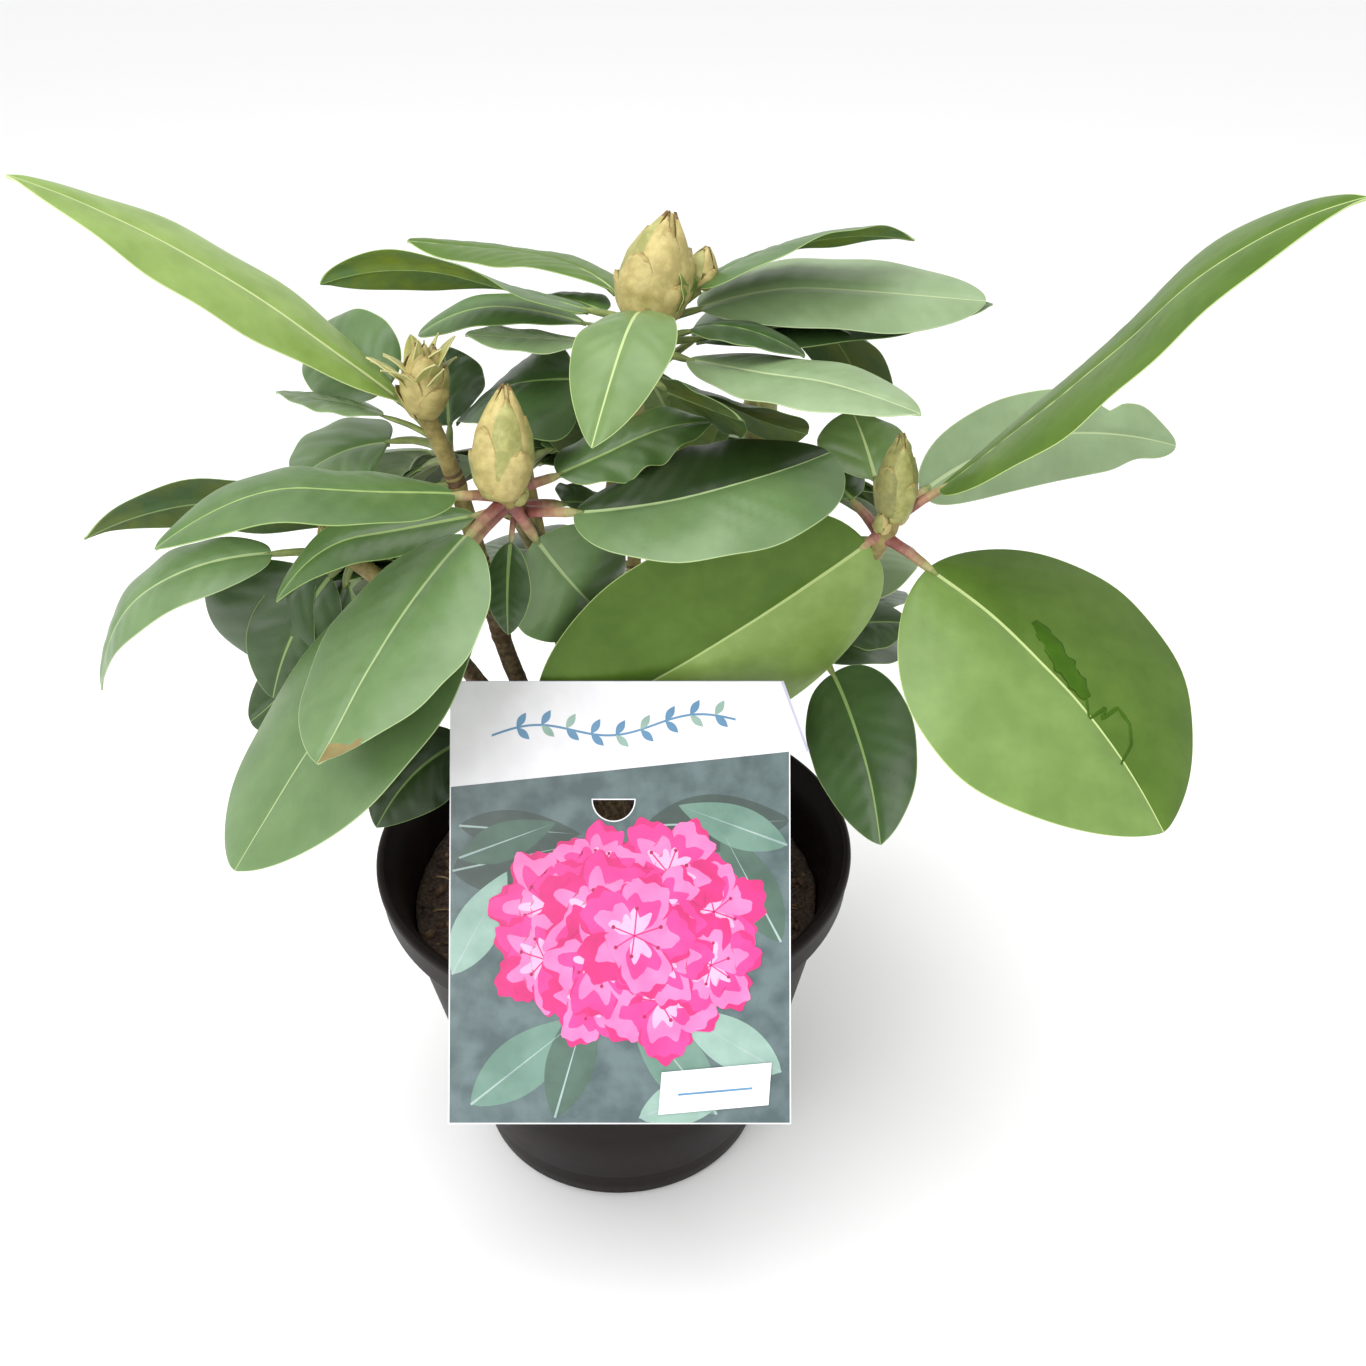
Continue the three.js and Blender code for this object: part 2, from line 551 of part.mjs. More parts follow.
// Points spread over a leaf, which stand for it where the room round it is measured.
function leafPoints(root, leaf) {
  const { at, frame } = midrib(root, leaf);
  const stalk = (leaf.stalk ?? STALK_LENGTH) / leaf.long;
  const points = [];
  for (let k = 0; k <= LEAF_SAMPLES; k += 1) {
    const q = k / LEAF_SAMPLES;
    const s = stalk + (1 - stalk) * q;
    const { across } = frame(s);
    const half = (leaf.wide / 2) * bladeWidth(q, leaf);
    for (const a of [-1, -0.5, 0, 0.5, 1]) points.push(at(s).addScaledVector(across, a * half));
  }
  return points;
}

const limbPoints = (curve) => curve.getPoints(LIMB_SAMPLES);

const tooNear = (points, others, room) => points.some(
  (p) => others.some((o) => p.distanceToSquared(o) < room * room));

// Every shoot with its curve and the leaves it is given, before the fill grows round them.
const grown = SHOOTS.map((shoot) => {
  const curve = shootCurve(shoot);
  const length = curve.getLength();
  const rootOf = (leaf) => curve.getPoint(1 - leaf.below / length);
  return { shoot, curve, length, rootOf, leaves: [...shoot.leaves] };
});

const occupied = grown.map((plantlet) => [
  ...limbPoints(plantlet.curve),
  ...plantlet.leaves.flatMap((leaf) => leafPoints(plantlet.rootOf(leaf), leaf)),
]);

function fillShoot(index) {
  const plantlet = grown[index];
  const random = seeded(FIRST_SEED + SEED_STEP * index);
  const between = ([low, high]) => low + (high - low) * random();
  const [from, to] = plantlet.shoot.fan || [0, 0];
  for (let k = 0; k < plantlet.shoot.fill; k += 1) {
    for (let attempt = 0; attempt < FILL.tries; attempt += 1) {
      const long = between(FILL.long);
      const leaf = {
        below: between(FILL.below),
        azimuth: from + (to - from) * ((GOLDEN_SHARE * k + FILL.retry * attempt) % 1),
        rise: between(plantlet.shoot.fillRise),
        long,
        wide: long * between(FILL.slender),
        bow: between(FILL.bow),
        roll: between(FILL.roll),
      };
      const points = leafPoints(plantlet.rootOf(leaf), leaf);
      const outside = points.some((p) => Math.hypot(p.x, p.y) > CROWN_BACK
        || Math.abs(p.x) > CROWN_HALF_WIDTH || p.z < CROWN_FLOOR);
      const crowded = occupied.some(
        (others, other) => tooNear(points, others, other === index ? 0 : FILL.room));
      if (!outside && !crowded) {
        plantlet.leaves.push(leaf);
        occupied[index].push(...points);
        break;
      }
    }
  }
}
grown.forEach((_, index) => fillShoot(index));

function shootSolids({ shoot, curve, length, rootOf, leaves }) {
  const radius = (t) => THREE.MathUtils.lerp(shoot.bough, shoot.twig, t);
  let bough = limb(curve, 0, BOUGH_SHARE, radius, LIMB_STEPS);
  if (shoot.fork < TRUNK_FORK) bough = bough.subtract(trunkRoom);
  const gap = CLEAR / length;
  const stem = limb(curve, BOUGH_SHARE + gap * STEM_SEAT, 1, radius, STEM_STEPS);
  const pieces = [stem, budSolid(point(...shoot.crown), shoot.bud)];
  for (const leaf of leaves) pieces.push(leafSolid(rootOf(leaf), leaf));
  for (const bud of shoot.sideBuds || []) pieces.push(...sideBudSolids(rootOf(bud), bud));
  return { bough, mass: wasm.Manifold.union(pieces) };
}

// ---------------------------------------------------------------- the plant

const plant = new THREE.Group();

function add(name, geometry, look) {
  const mesh = new THREE.Mesh(geometry, new THREE.MeshStandardMaterial(look));
  mesh.name = name;
  plant.add(mesh);
  return mesh;
}

const POT_LOOK = { color: 0x241f20, roughness: 0.5, metalness: 0 };
const SOIL_LOOK = { color: 0x2b211b, roughness: 1, metalness: 0 };
const CARD_LOOK = { color: 0xe9e6ea, roughness: 0.35, metalness: 0 };
const BARK_LOOK = { color: 0x7a6a45, roughness: 0.85, metalness: 0 };
const LEAF_LOOK = { color: 0x5f8a45, roughness: 0.45, metalness: 0 };

add('pot', potGeometry(), POT_LOOK);
add('growing_medium', soilGeometry(), SOIL_LOOK);
add('label_card', cardGeometry(), CARD_LOOK);
add('trunk', geometryOf(trunkSolid), BARK_LOOK);
for (const plantlet of grown) {
  const { bough, mass } = shootSolids(plantlet);
  add(`bough_${plantlet.shoot.name}`, geometryOf(bough), BARK_LOOK);
  add(`leaves_${plantlet.shoot.name}`, geometryOf(mass), LEAF_LOOK);
}

export default plant;
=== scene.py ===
import math

import bpy
import numpy as np
from mathutils import Matrix, Vector


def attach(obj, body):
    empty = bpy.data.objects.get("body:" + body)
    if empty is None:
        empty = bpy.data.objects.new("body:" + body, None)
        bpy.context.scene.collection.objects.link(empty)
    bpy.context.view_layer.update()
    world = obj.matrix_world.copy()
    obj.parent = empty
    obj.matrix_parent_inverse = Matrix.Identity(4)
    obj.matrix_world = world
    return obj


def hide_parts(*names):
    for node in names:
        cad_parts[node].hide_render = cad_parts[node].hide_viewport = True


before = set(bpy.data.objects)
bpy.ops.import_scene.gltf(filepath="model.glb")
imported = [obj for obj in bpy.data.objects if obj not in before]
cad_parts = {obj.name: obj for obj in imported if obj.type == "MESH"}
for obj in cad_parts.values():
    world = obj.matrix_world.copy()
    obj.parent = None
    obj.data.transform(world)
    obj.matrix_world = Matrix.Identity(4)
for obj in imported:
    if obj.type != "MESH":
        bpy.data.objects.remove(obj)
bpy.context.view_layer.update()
mm = 0.001
up = np.array([0.0, 0.0, 1.0])
print("frame loaded:", len(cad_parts), "nodes")

# Names of things in the dictionaries are millimetres and degrees unless a note says otherwise.


# small helpers

def linear(hexColour):
    # sRGB hex to the linear numbers that the shaders take
    parts = [int(hexColour[k:k + 2], 16) / 255 for k in (1, 3, 5)]
    return tuple(c / 12.92 if c <= 0.04045 else ((c + 0.055) / 1.055) ** 2.4 for c in parts) + (1.0,)


def addNode(tree, kind, settings=None, links=None):
    # settings are node properties, or input values where the key names or numbers a socket
    node = tree.nodes.new(kind)
    for key, value in (settings or {}).items():
        if isinstance(key, int) or key in node.inputs:
            node.inputs[key].default_value = value
        else:
            setattr(node, key, value)
    for key, source in (links or {}).items():
        tree.links.new(source, node.inputs[key])
    return node


def newMaterial(name, settings):
    material = bpy.data.materials.new(name)
    material.use_nodes = True
    tree = material.node_tree
    shader = tree.nodes["Principled BSDF"]
    for key, value in settings.items():
        shader.inputs[key].default_value = value
    return material, tree, shader


def mottledMaterial(name, light, dark, mottle, finish):
    # patches of soft noise blend the dark colour into the light one between the two ends of the ramp
    material, tree, shader = newMaterial(name, {"IOR": 1.45, **finish})
    place = addNode(tree, "ShaderNodeTexCoord").outputs["Object"]
    noise = {"Scale": 1 / (mottle["size"] * mm), "Detail": mottle["detail"], "Roughness": mottle["rough"]}
    patches = addNode(tree, "ShaderNodeTexNoise", noise, {"Vector": place})
    blend = addNode(tree, "ShaderNodeValToRGB", links={"Fac": patches.outputs["Fac"]})
    for element, position, colour in zip(blend.color_ramp.elements, mottle["ramp"], (dark, light)):
        element.position = position
        element.color = linear(colour)
    tree.links.new(blend.outputs["Color"], shader.inputs["Base Color"])
    return material, tree, shader, place, patches.outputs["Fac"]


def addBump(tree, shader, height, strength, depth):
    bump = addNode(tree, "ShaderNodeBump", {"Strength": strength, "Distance": depth * mm}, {"Height": height})
    tree.links.new(bump.outputs["Normal"], shader.inputs["Normal"])


def unit(v):
    v = np.asarray(v, float)
    return v / np.linalg.norm(v, axis=-1, keepdims=True)


def direction(azimuth, rise):
    a, r = math.radians(azimuth), math.radians(rise)
    return np.array([math.cos(a) * math.cos(r), math.sin(a) * math.cos(r), math.sin(r)])


def seeded(seed):
    # minimal standard generator, the same as the solids grow by
    state = [seed]

    def draw():
        state[0] = (state[0] * 16807) % 2147483647
        return state[0] / 2147483647
    return draw


def between(draw, limits):
    return limits[0] + (limits[1] - limits[0]) * draw()


def bearings(count):
    # evenly spaced round a ring, in radians
    return 2 * np.pi * np.arange(count) / count


# large odd numbers that scatter the corners of the noise's cells
hashWith = {"axes": (73856093, 19349663, 83492791), "seed": 2654435761, "mix": 1274126177}


def softNoise(points, size, seed=0):
    # value noise between -1 and 1 over points in mm; size is the width of its lumps
    p = np.asarray(points, float) / size
    cell = np.floor(p).astype(np.int64)
    f = p - cell
    f = f * f * (3 - 2 * f)
    total = np.zeros(p.shape[:-1])
    for corner in range(8):
        bit = np.array([corner & 1, corner >> 1 & 1, corner >> 2 & 1])
        x, y, z = np.moveaxis((cell + bit) * hashWith["axes"], -1, 0)
        h = x ^ y ^ z ^ (seed * hashWith["seed"])
        h = (h ^ (h >> 13)) * hashWith["mix"] & 0x7FFFFFFF
        value = ((h ^ (h >> 16)) & 0xFFFF) / 32767.5 - 1
        total += value * np.prod(np.where(bit, f, 1 - f), axis=-1)
    return total


def newBag():
    return {"points": [], "quads": [], "tris": [], "quadSlots": [], "triSlots": [], "count": 0}


def addPoints(bag, points):
    start = bag["count"]
    points = np.asarray(points, float).reshape(-1, 3)
    bag["points"].append(points)
    bag["count"] += len(points)
    return start


def addQuads(bag, quads, slots=0):
    quads = np.asarray(quads).reshape(-1, 4)
    bag["quads"].append(quads)
    bag["quadSlots"].append(np.broadcast_to(slots, (len(quads),)))


def addTris(bag, tris, slots=0):
    tris = np.asarray(tris).reshape(-1, 3)
    bag["tris"].append(tris)
    bag["triSlots"].append(np.broadcast_to(slots, (len(tris),)))


def addTube(bag, rings, slots=0):
    # rings is rows x sides x 3, each ring turning left about the way it is passed; both ends are closed
    rows, sides = rings.shape[:2]
    at = addPoints(bag, rings) + np.arange(rows * sides).reshape(rows, sides)
    a, b = at[:-1], at[1:]
    slots = np.broadcast_to(slots, (rows - 1,))
    addQuads(bag, np.stack([a, np.roll(a, -1, 1), np.roll(b, -1, 1), b], -1), np.repeat(slots, sides))
    for end, turnBack in ((0, True), (-1, False)):
        hub = np.full(sides, addPoints(bag, rings[end].mean(0)))
        edge = at[end]
        after = np.roll(edge, -1)
        addTris(bag, np.stack([after, edge, hub] if turnBack else [edge, after, hub], -1), slots[end])


def addSheet(bag, top, bottom, slots, edgeSlot, bottomSlots):
    # closed thin sheet: two grids of rows x columns x 3, skinned together at their rims
    rows, cols = top.shape[:2]
    grid = np.arange(rows * cols).reshape(rows, cols)
    t = addPoints(bag, top) + grid
    b = addPoints(bag, bottom) + grid
    topSlots, bottomSlots = [np.broadcast_to(s, (rows - 1, cols - 1)).ravel() for s in (slots, bottomSlots)]
    addQuads(bag, np.stack([t[:-1, :-1], t[1:, :-1], t[1:, 1:], t[:-1, 1:]], -1), topSlots)
    addQuads(bag, np.stack([b[:-1, :-1], b[:-1, 1:], b[1:, 1:], b[1:, :-1]], -1), bottomSlots)
    addQuads(bag, np.stack([t[:-1, 0], b[:-1, 0], b[1:, 0], t[1:, 0]], -1), edgeSlot)
    addQuads(bag, np.stack([t[:-1, -1], t[1:, -1], b[1:, -1], b[:-1, -1]], -1), edgeSlot)
    addQuads(bag, np.stack([t[0, :-1], t[0, 1:], b[0, 1:], b[0, :-1]], -1), edgeSlot)
    addQuads(bag, np.stack([t[-1, :-1], b[-1, :-1], b[-1, 1:], t[-1, 1:]], -1), edgeSlot)


def buildPiece(name, bag, materials, nodes=(), smooth=True):
    points = np.concatenate(bag["points"]) * mm
    quads = np.concatenate(bag["quads"]) if bag["quads"] else np.zeros((0, 4), int)
    tris = np.concatenate(bag["tris"]) if bag["tris"] else np.zeros((0, 3), int)
    slots = np.concatenate(bag["quadSlots"] + bag["triSlots"]).astype(np.int32)
    loops = np.concatenate([quads.ravel(), tris.ravel()]).astype(np.int32)
    starts = np.concatenate([np.arange(len(quads)) * 4, len(quads) * 4 + np.arange(len(tris)) * 3])
    mesh = bpy.data.meshes.new(name)
    mesh.vertices.add(len(points))
    mesh.vertices.foreach_set("co", points.astype(np.float32).ravel())
    mesh.loops.add(len(loops))
    mesh.loops.foreach_set("vertex_index", loops)
    mesh.polygons.add(len(slots))
    mesh.polygons.foreach_set("loop_start", starts.astype(np.int32))
    mesh.polygons.foreach_set("material_index", slots)
    mesh.polygons.foreach_set("use_smooth", np.full(len(slots), smooth))
    mesh.update(calc_edges=True)
    mesh.validate()
    for material in materials:
        mesh.materials.append(material)
    return placePiece(bpy.data.objects.new(name, mesh), nodes)


def placePiece(piece, nodes=()):
    bpy.context.scene.collection.objects.link(piece)
    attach(piece, "root")
    if nodes:
        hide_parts(*nodes)
    return piece


# camera: in front of the pot at the height of the crown, looking down at the plant

camera = {"focalPixels": 1400, "imageSide": 1366, "sensor": 36, "place": (24.6, -398.0, 447.0), "down": 32.3}
cameraData = bpy.data.cameras.new("camera")
cameraData.sensor_width = camera["sensor"]
cameraData.lens = camera["sensor"] * camera["focalPixels"] / camera["imageSide"]
cameraData.clip_start = 0.01
cameraObject = bpy.data.objects.new("camera", cameraData)
cameraObject.location = Vector(camera["place"]) * mm
cameraObject.rotation_euler = (math.radians(90 - camera["down"]), 0, 0)
bpy.context.scene.collection.objects.link(cameraObject)
bpy.context.scene.camera = cameraObject
bpy.context.scene.view_settings.view_transform = "Standard"


# how the plant grows: the same rule and the same values as the solids

trunk = {"foot": 104.3, "fork": 166, "footRadius": 9, "radius": 5.4, "topRadius": 4.6, "lean": (-3, 10),
         "flareShare": 0.25, "boughShare": 0.62, "soilTop": 104, "gap": 0.3, "startRise": 40}
leafRule = {"stalk": 17, "foot": 0.58, "end": 0.8, "fall": 1.6, "arch": 0.12, "hookFrom": 0.6}
fillRule = {"below": (4, 22), "long": (84, 112), "slender": (0.36, 0.44), "bow": (4, 12), "roll": (-16, 16),
            "tries": 7, "retry": 0.13, "room": 8, "golden": 0.618, "firstSeed": 100, "seedStep": 37,
            "back": 168, "halfWidth": 118, "floor": 150, "tones": ("mid", "deep", "fresh")}


def leafRow(below, azimuth, rise, long, wide, tone="mid", **shape):
    # below is the way down the stem from its crown; azimuth and rise point from the blade's foot to its tip
    # tone names the leaf's colours: young is light and fresh, pale has a bloom, deep is old and dark and also
    # serves as painted shade on leaves low in the crown; the grey-green tone is painted sheen and the darkest
    # tone is painted shade
    return dict(shape, below=below, azimuth=azimuth, rise=rise, long=long, wide=wide, tone=tone)


def budRow(long, thick, azimuth, rise, **more):
    return dict(more, long=long, thick=thick, azimuth=azimuth, rise=rise)


shoots = [
    dict(name="top", fork=166, crown=(14, 5, 319), heading=20, bough=4.4, twig=3.6, fill=3, fan=(60, 140),
         fillRise=(-46, -36), lean=(20, 80), bud=budRow(31, 21, 0, 76),
         bract=leafRow(0, -20, 68, 21, 12, "grassy", bow=-9, stalk=4),
         sideBuds=[budRow(12, 10, 20, 32, below=3, out=19)],
         leaves=[
             leafRow(3, -102, -11, 64, 28, "fresh", bow=18, sway=4, roll=4, stalk=8, foot=0.85),
             leafRow(4, 9, -1, 104, 37, "silver", bow=8, sway=10, roll=20, hook=-6, foot=0.5, end=0.55),
             leafRow(10, -38, 4, 94, 28, "silver", roll=10, hook=4, foot=0.65),
             leafRow(3, 22, 11, 90, 32, bow=12, sway=-3, roll=-6, twist=-30, foot=0.4, end=1.1),
             leafRow(9, 19, 1, 117, 30, "deep", bow=1, roll=4),
             leafRow(3, 188, 17, 92, 30, bow=2, roll=-17, twist=75, hook=11, foot=0.6),
             leafRow(4, 150, 4, 88, 42, "grassy", bow=8, sway=-18, roll=20, twist=-15, hook=-8, foot=0.6,
                     end=0.7),
             leafRow(8, 172, 6, 68, 17, bow=5, roll=-12, twist=-6, hook=8, foot=0.75, end=0.55),
             leafRow(8, -167, 8, 52, 24, "silver", roll=12, twist=-16),
             leafRow(6, 135, -3, 60, 26, bow=6),
             leafRow(12, -19, 7, 51, 27, "deep", bow=9, roll=-5, wave=0.2),
             leafRow(24, 31, -14, 95, 52, "deep", bow=31, roll=-7, end=0.55),
             leafRow(20, -18, -15, 54, 34, "deep", bow=6, sway=-3, roll=-9, twist=-40, hook=-5, foot=0.75,
                     end=0.55),
             leafRow(22, 184, -1, 55, 56, "deep", bow=6, sway=6, roll=-40, twist=58, hook=9, foot=0.4,
                     end=1.1),
             leafRow(0, 40, 72, 24, 9, "fresh", bow=3, stalk=4),
             leafRow(18, -53, 3, 50, 30, "deep", roll=-45),
         ]),
    dict(name="front_left", fork=142, crown=(-26, -40, 284), heading=-95, start=72, bough=3.6, twig=3, fill=0,
         lean=(-97, 34), flush=True, bud=budRow(30, 16.5, 60, 80),
         sideBuds=[budRow(8, 6, -140, 20, below=5, out=4), budRow(9, 6, -60, 30, below=14, out=4),
                   budRow(9, 6, -150, 35, below=26, out=4)],
         leaves=[
             leafRow(8, -158, 12, 94, 32, bow=3, sway=6, roll=-5, hook=18, foot=0.45, end=0.7),
             leafRow(8, -121, -28, 94, 51, "pale", bow=3, sway=-5, roll=8, hook=-5, foot=0.5, browned=0.9),
             leafRow(12, -136, -37, 128, 68, "pale", sway=-6, roll=4, foot=0.5, end=0.65),
             leafRow(20, 4, 10, 92, 49, "pale", bow=3, sway=-18, roll=15, foot=0.55, end=0.5, half="dusk"),
             leafRow(5, 25, 17, 65, 28, bow=-4, sway=4, roll=11, hook=9, foot=0.45, end=0.75, wave=1.6),
             leafRow(9, 44, -56, 66, 42, "pale", bow=-3, sway=-3, roll=100),
             leafRow(17, -105, -70, 38, 14, "deep", bow=3, stalk=10),
             leafRow(18, 40, -16, 42, 30, "deep", bow=2, roll=11),
             leafRow(17, -171, -7, 74, 20, roll=-20, hook=16, stalk=12),
         ]),
    dict(name="high_left", fork=154, crown=(-50, -15, 297), heading=184, start=31, bough=3.2, twig=2.6,
         fill=3, fan=(80, 160), fillRise=(-40, -24), lean=(-157, 67), bud=budRow(20, 13, 60, 80, open=0.9),
         leaves=[
             leafRow(4, -177, 36, 125, 35, "spring", bow=3, sway=-5, roll=-15, twist=12, hook=2, stalk=10,
                     foot=0.75, end=0.9),
             leafRow(8, 139, 17, 59, 30, bow=10, sway=6, roll=-39, foot=0.4, end=0.6),
             leafRow(10, 179, 16, 48, 20, "silver", bow=4, roll=8, hook=-2, foot=0.6, end=0.9),
             leafRow(12, -174, -7, 43, 40, "pale", sway=-13, roll=-11, hook=2, foot=0.4, end=0.7),
             leafRow(25, -174, 3, 110, 30, "deep", bow=-4, sway=4, roll=51, twist=10, hook=18, foot=0.55,
                     end=1.1),
             leafRow(1, -165, 52, 24, 8, "bract", bow=3, stalk=3),
             leafRow(1, 20, 66, 25, 8, "bract", bow=3, stalk=3),
             leafRow(1, -60, 60, 22, 8, "bract", bow=3, stalk=3),
             leafRow(1, 110, 58, 24, 8, "bract", bow=3, stalk=3),
             leafRow(19, 98, 38, 42, 27, "deep", bow=-4, roll=-35),
         ]),
    dict(name="right", fork=156, crown=(87, -20, 267), heading=-15, bough=3.6, twig=3, fill=0, lean=(-60, 68),
         flush=True, bud=budRow(25, 12, 70, 82),
         sideBuds=[budRow(9, 5.5, -20, 45, below=6, out=4), budRow(8, 5.5, -110, 35, below=8, out=4)],
         leaves=[
             leafRow(6, -175, -33, 127, 74, "grassy", bow=-4, roll=-95, stalk=7, foot=0.4, end=0.55,
                     half="spring"),
             leafRow(9, -44, -26, 118, 88, "young", bow=6, sway=2, roll=13, hook=5, foot=0.5, end=0.7,
                     half="grassy", marks=[
                         dict(way=[(0.33, 0.2), (0.39, 0.17), (0.46, 0.12), (0.53, 0.09), (0.59, 0.07)],
                              wide=6.5, tall=0.25),
                         dict(way=[(0.58, 0.08), (0.64, -0.02), (0.64, 0.14), (0.66, 0.06), (0.66, 0.22),
                                   (0.71, 0.24), (0.76, 0.16), (0.79, -0.04)], wide=1.1, tall=0.3)]),
             leafRow(3, -32, 52, 151, 50, "grassy", bow=-6, sway=14, roll=5, twist=18, hook=18, foot=0.4,
                     end=0.95),
             leafRow(4, 30, 1, 120, 30, "silver", bow=9, sway=11, roll=60, hook=2, foot=0.4, end=0.55,
                     wave=1.2, bites=[dict(hand=1, at=0.77, long=0.035, deep=0.35),
                                      dict(hand=1, at=0.89, long=0.05, deep=-0.2),
                                      dict(hand=-1, at=0.88, long=0.07, deep=0.25)]),
             leafRow(5, 100, 25, 48, 30, "fresh", bow=3),
             leafRow(10, 120, 11, 56, 28, bow=4),
         ]),
    dict(name="low_left", fork=133, crown=(-80, -22, 257), heading=178, bough=3.2, twig=2.6, fill=3,
         fan=(90, 165), fillRise=(-44, -26), lean=(-165, 40), bud=budRow(9, 6, 200, 70),
         leaves=[
             leafRow(4, -171, -23, 89, 28, "pale", bow=20, sway=7, roll=-11, twist=-6, hook=6, foot=0.4,
                     end=0.9),
             leafRow(5, 180, -47, 50, 41, "deep", bow=8, sway=6, roll=-74, stalk=8, foot=0.95, end=0.55),
             leafRow(7, -166, -57, 65, 33, "deep", bow=-2, roll=-30, hook=-4, stalk=8, foot=0.6, end=0.55),
             leafRow(5, -155, -56, 52, 27, "deep", bow=4, roll=-65, stalk=8),
             leafRow(5, 50, -25, 32, 26, "deep", bow=3, stalk=8),
             leafRow(9, 6, 24, 34, 30, bow=2, roll=-10, stalk=6),
         ]),
    dict(name="low_right", fork=130, crown=(68, 2, 214), heading=-35, bough=3.2, twig=2.6, fill=3,
         fan=(5, 95), fillRise=(-20, 4), bud=budRow(9, 6, 0, 60),
         leaves=[
             leafRow(2, -77, -21, 79, 35, "deep", bow=3, sway=3, roll=35, hook=2, foot=0.35, end=0.7),
             leafRow(3, 5, 8, 34, 22, "deep", bow=3, roll=20, stalk=8),
         ]),
    dict(name="low_front", fork=119, crown=(-32, -14, 188), heading=-160, start=45, bough=3, twig=2.4, fill=0,
         bud=budRow(9, 6, -60, 60),
         leaves=[leafRow(3, -139, -13, 55, 27, "dusk", bow=9, roll=-40, hook=2, foot=0.55)]),
    dict(name="back_right", fork=140, crown=(50, 62, 258), heading=50, bough=3.6, twig=3, fill=7,
         fan=(-20, 120), fillRise=(-34, -6), bud=budRow(24, 12, 50, 80)),
    dict(name="back_left", fork=146, crown=(-34, 68, 262), heading=115, bough=3.6, twig=3, fill=7,
         fan=(60, 205), fillRise=(-34, -6), bud=budRow(14, 8, 120, 80)),
    dict(name="back_low", fork=124, crown=(6, 80, 206), heading=92, bough=3.2, twig=2.6, fill=6,
         fan=(15, 165), fillRise=(-20, 4), bud=budRow(18, 9, 90, 75)),
]


def bezier(points, t):
    # a curve through its first and last control point, at every t
    t = np.asarray(t, float)[..., None]
    row = [np.asarray(p, float) for p in points]
    while len(row) > 1:
        row = [a * (1 - t) + b * t for a, b in zip(row[:-1], row[1:])]
    return row[0]


def tangentOf(points, t, step=0.001):
    t = np.asarray(t, float)
    return unit(bezier(points, np.minimum(t + step, 1)) - bezier(points, np.maximum(t - step, 0)))


trunkTop = np.array([*trunk["lean"], trunk["fork"]], float)
trunkMiddle = np.array([0, 0, (trunk["soilTop"] + trunk["fork"]) / 2])
trunkCurve = [np.array([0, 0, trunk["foot"]]), trunkMiddle, trunkTop]


def shootCurve(shoot):
    t = (shoot["fork"] - trunk["soilTop"]) / (trunk["fork"] - trunk["soilTop"])
    start = bezier(trunkCurve, t) if t < 1 else trunkTop + up * trunk["gap"]
    crown = np.array(shoot["crown"], float)
    reach = np.linalg.norm(crown - start) / 3
    rise = shoot.get("start", trunk["startRise"])
    out = direction(shoot["heading"], rise) if t < 1 else tangentOf(trunkCurve, 1)
    lean = shoot.get("lean", (shoot["bud"]["azimuth"], shoot["bud"]["rise"]))
    return [start, start + out * reach, crown - direction(*lean) * reach, crown]


def bladeWidth(q, leaf):
    # half width of the blade along its length, 1 at the widest
    foot, end, fall = leaf.get("foot", leafRule["foot"]), leaf.get("end", leafRule["end"]), leafRule["fall"]

    def outline(at):
        return at ** foot * (1 - at ** fall) ** end
    return outline(np.clip(q, 0, 1)) / outline((foot / (foot + fall * end)) ** (1 / fall))


def midribAt(root, leaf, s):
    along = direction(leaf["azimuth"], leaf["rise"])
    left = direction(leaf["azimuth"] + 90, 0)
    rise = np.cross(along, left)
    s = np.asarray(s, float)[..., None]
    swell = 4 * s * (1 - s)
    curl = np.maximum(0, (s - leafRule["hookFrom"]) / (1 - leafRule["hookFrom"])) ** 2
    return (root + along * leaf["long"] * s + rise * (leaf.get("bow", 0) * swell - leaf.get("hook", 0) * curl)
            + left * leaf.get("sway", 0) * swell)


def midribFrame(root, leaf, s):
    s = np.asarray(s, float)
    left = direction(leaf["azimuth"] + 90, 0)
    tangent = unit(midribAt(root, leaf, s + 0.01) - midribAt(root, leaf, s - 0.01))
    flat = unit(left - tangent * (tangent @ left)[..., None])
    roll = np.radians(leaf.get("roll", 0) + leaf.get("twist", 0) * s)[..., None]
    across = flat * np.cos(roll) + np.cross(tangent, flat) * np.sin(roll)
    return across, np.cross(tangent, across)


def leafPoints(root, leaf):
    # a coarse grid over the blade, enough to tell whether two shoots touch
    stalk = leaf.get("stalk", leafRule["stalk"]) / leaf["long"]
    q = np.arange(11) * 0.1
    s = stalk + (1 - stalk) * q
    across, _ = midribFrame(root, leaf, s)
    half = leaf["wide"] / 2 * bladeWidth(q, leaf)
    spread = np.array([-1, -0.5, 0, 0.5, 1])
    sideways = across[:, None] * (half[:, None] * spread)[..., None]
    return (midribAt(root, leaf, s)[:, None] + sideways).reshape(-1, 3)


grown = []
for shoot in shoots:
    curve = shootCurve(shoot)
    length = np.linalg.norm(np.diff(bezier(curve, np.arange(201) / 200), axis=0), axis=1).sum()
    grown.append({"shoot": shoot, "curve": curve, "length": length, "leaves": list(shoot.get("leaves", []))})


def rootOf(plantlet, leaf):
    return bezier(plantlet["curve"], 1 - leaf["below"] / plantlet["length"])


occupied = [np.concatenate([bezier(g["curve"], np.arange(26) * 0.04)]
                           + [leafPoints(rootOf(g, leaf), leaf) for leaf in g["leaves"]]) for g in grown]


def leavesCrown(points):
    return (np.hypot(points[:, 0], points[:, 1]).max() > fillRule["back"]
            or np.abs(points[:, 0]).max() > fillRule["halfWidth"] or points[:, 2].min() < fillRule["floor"])


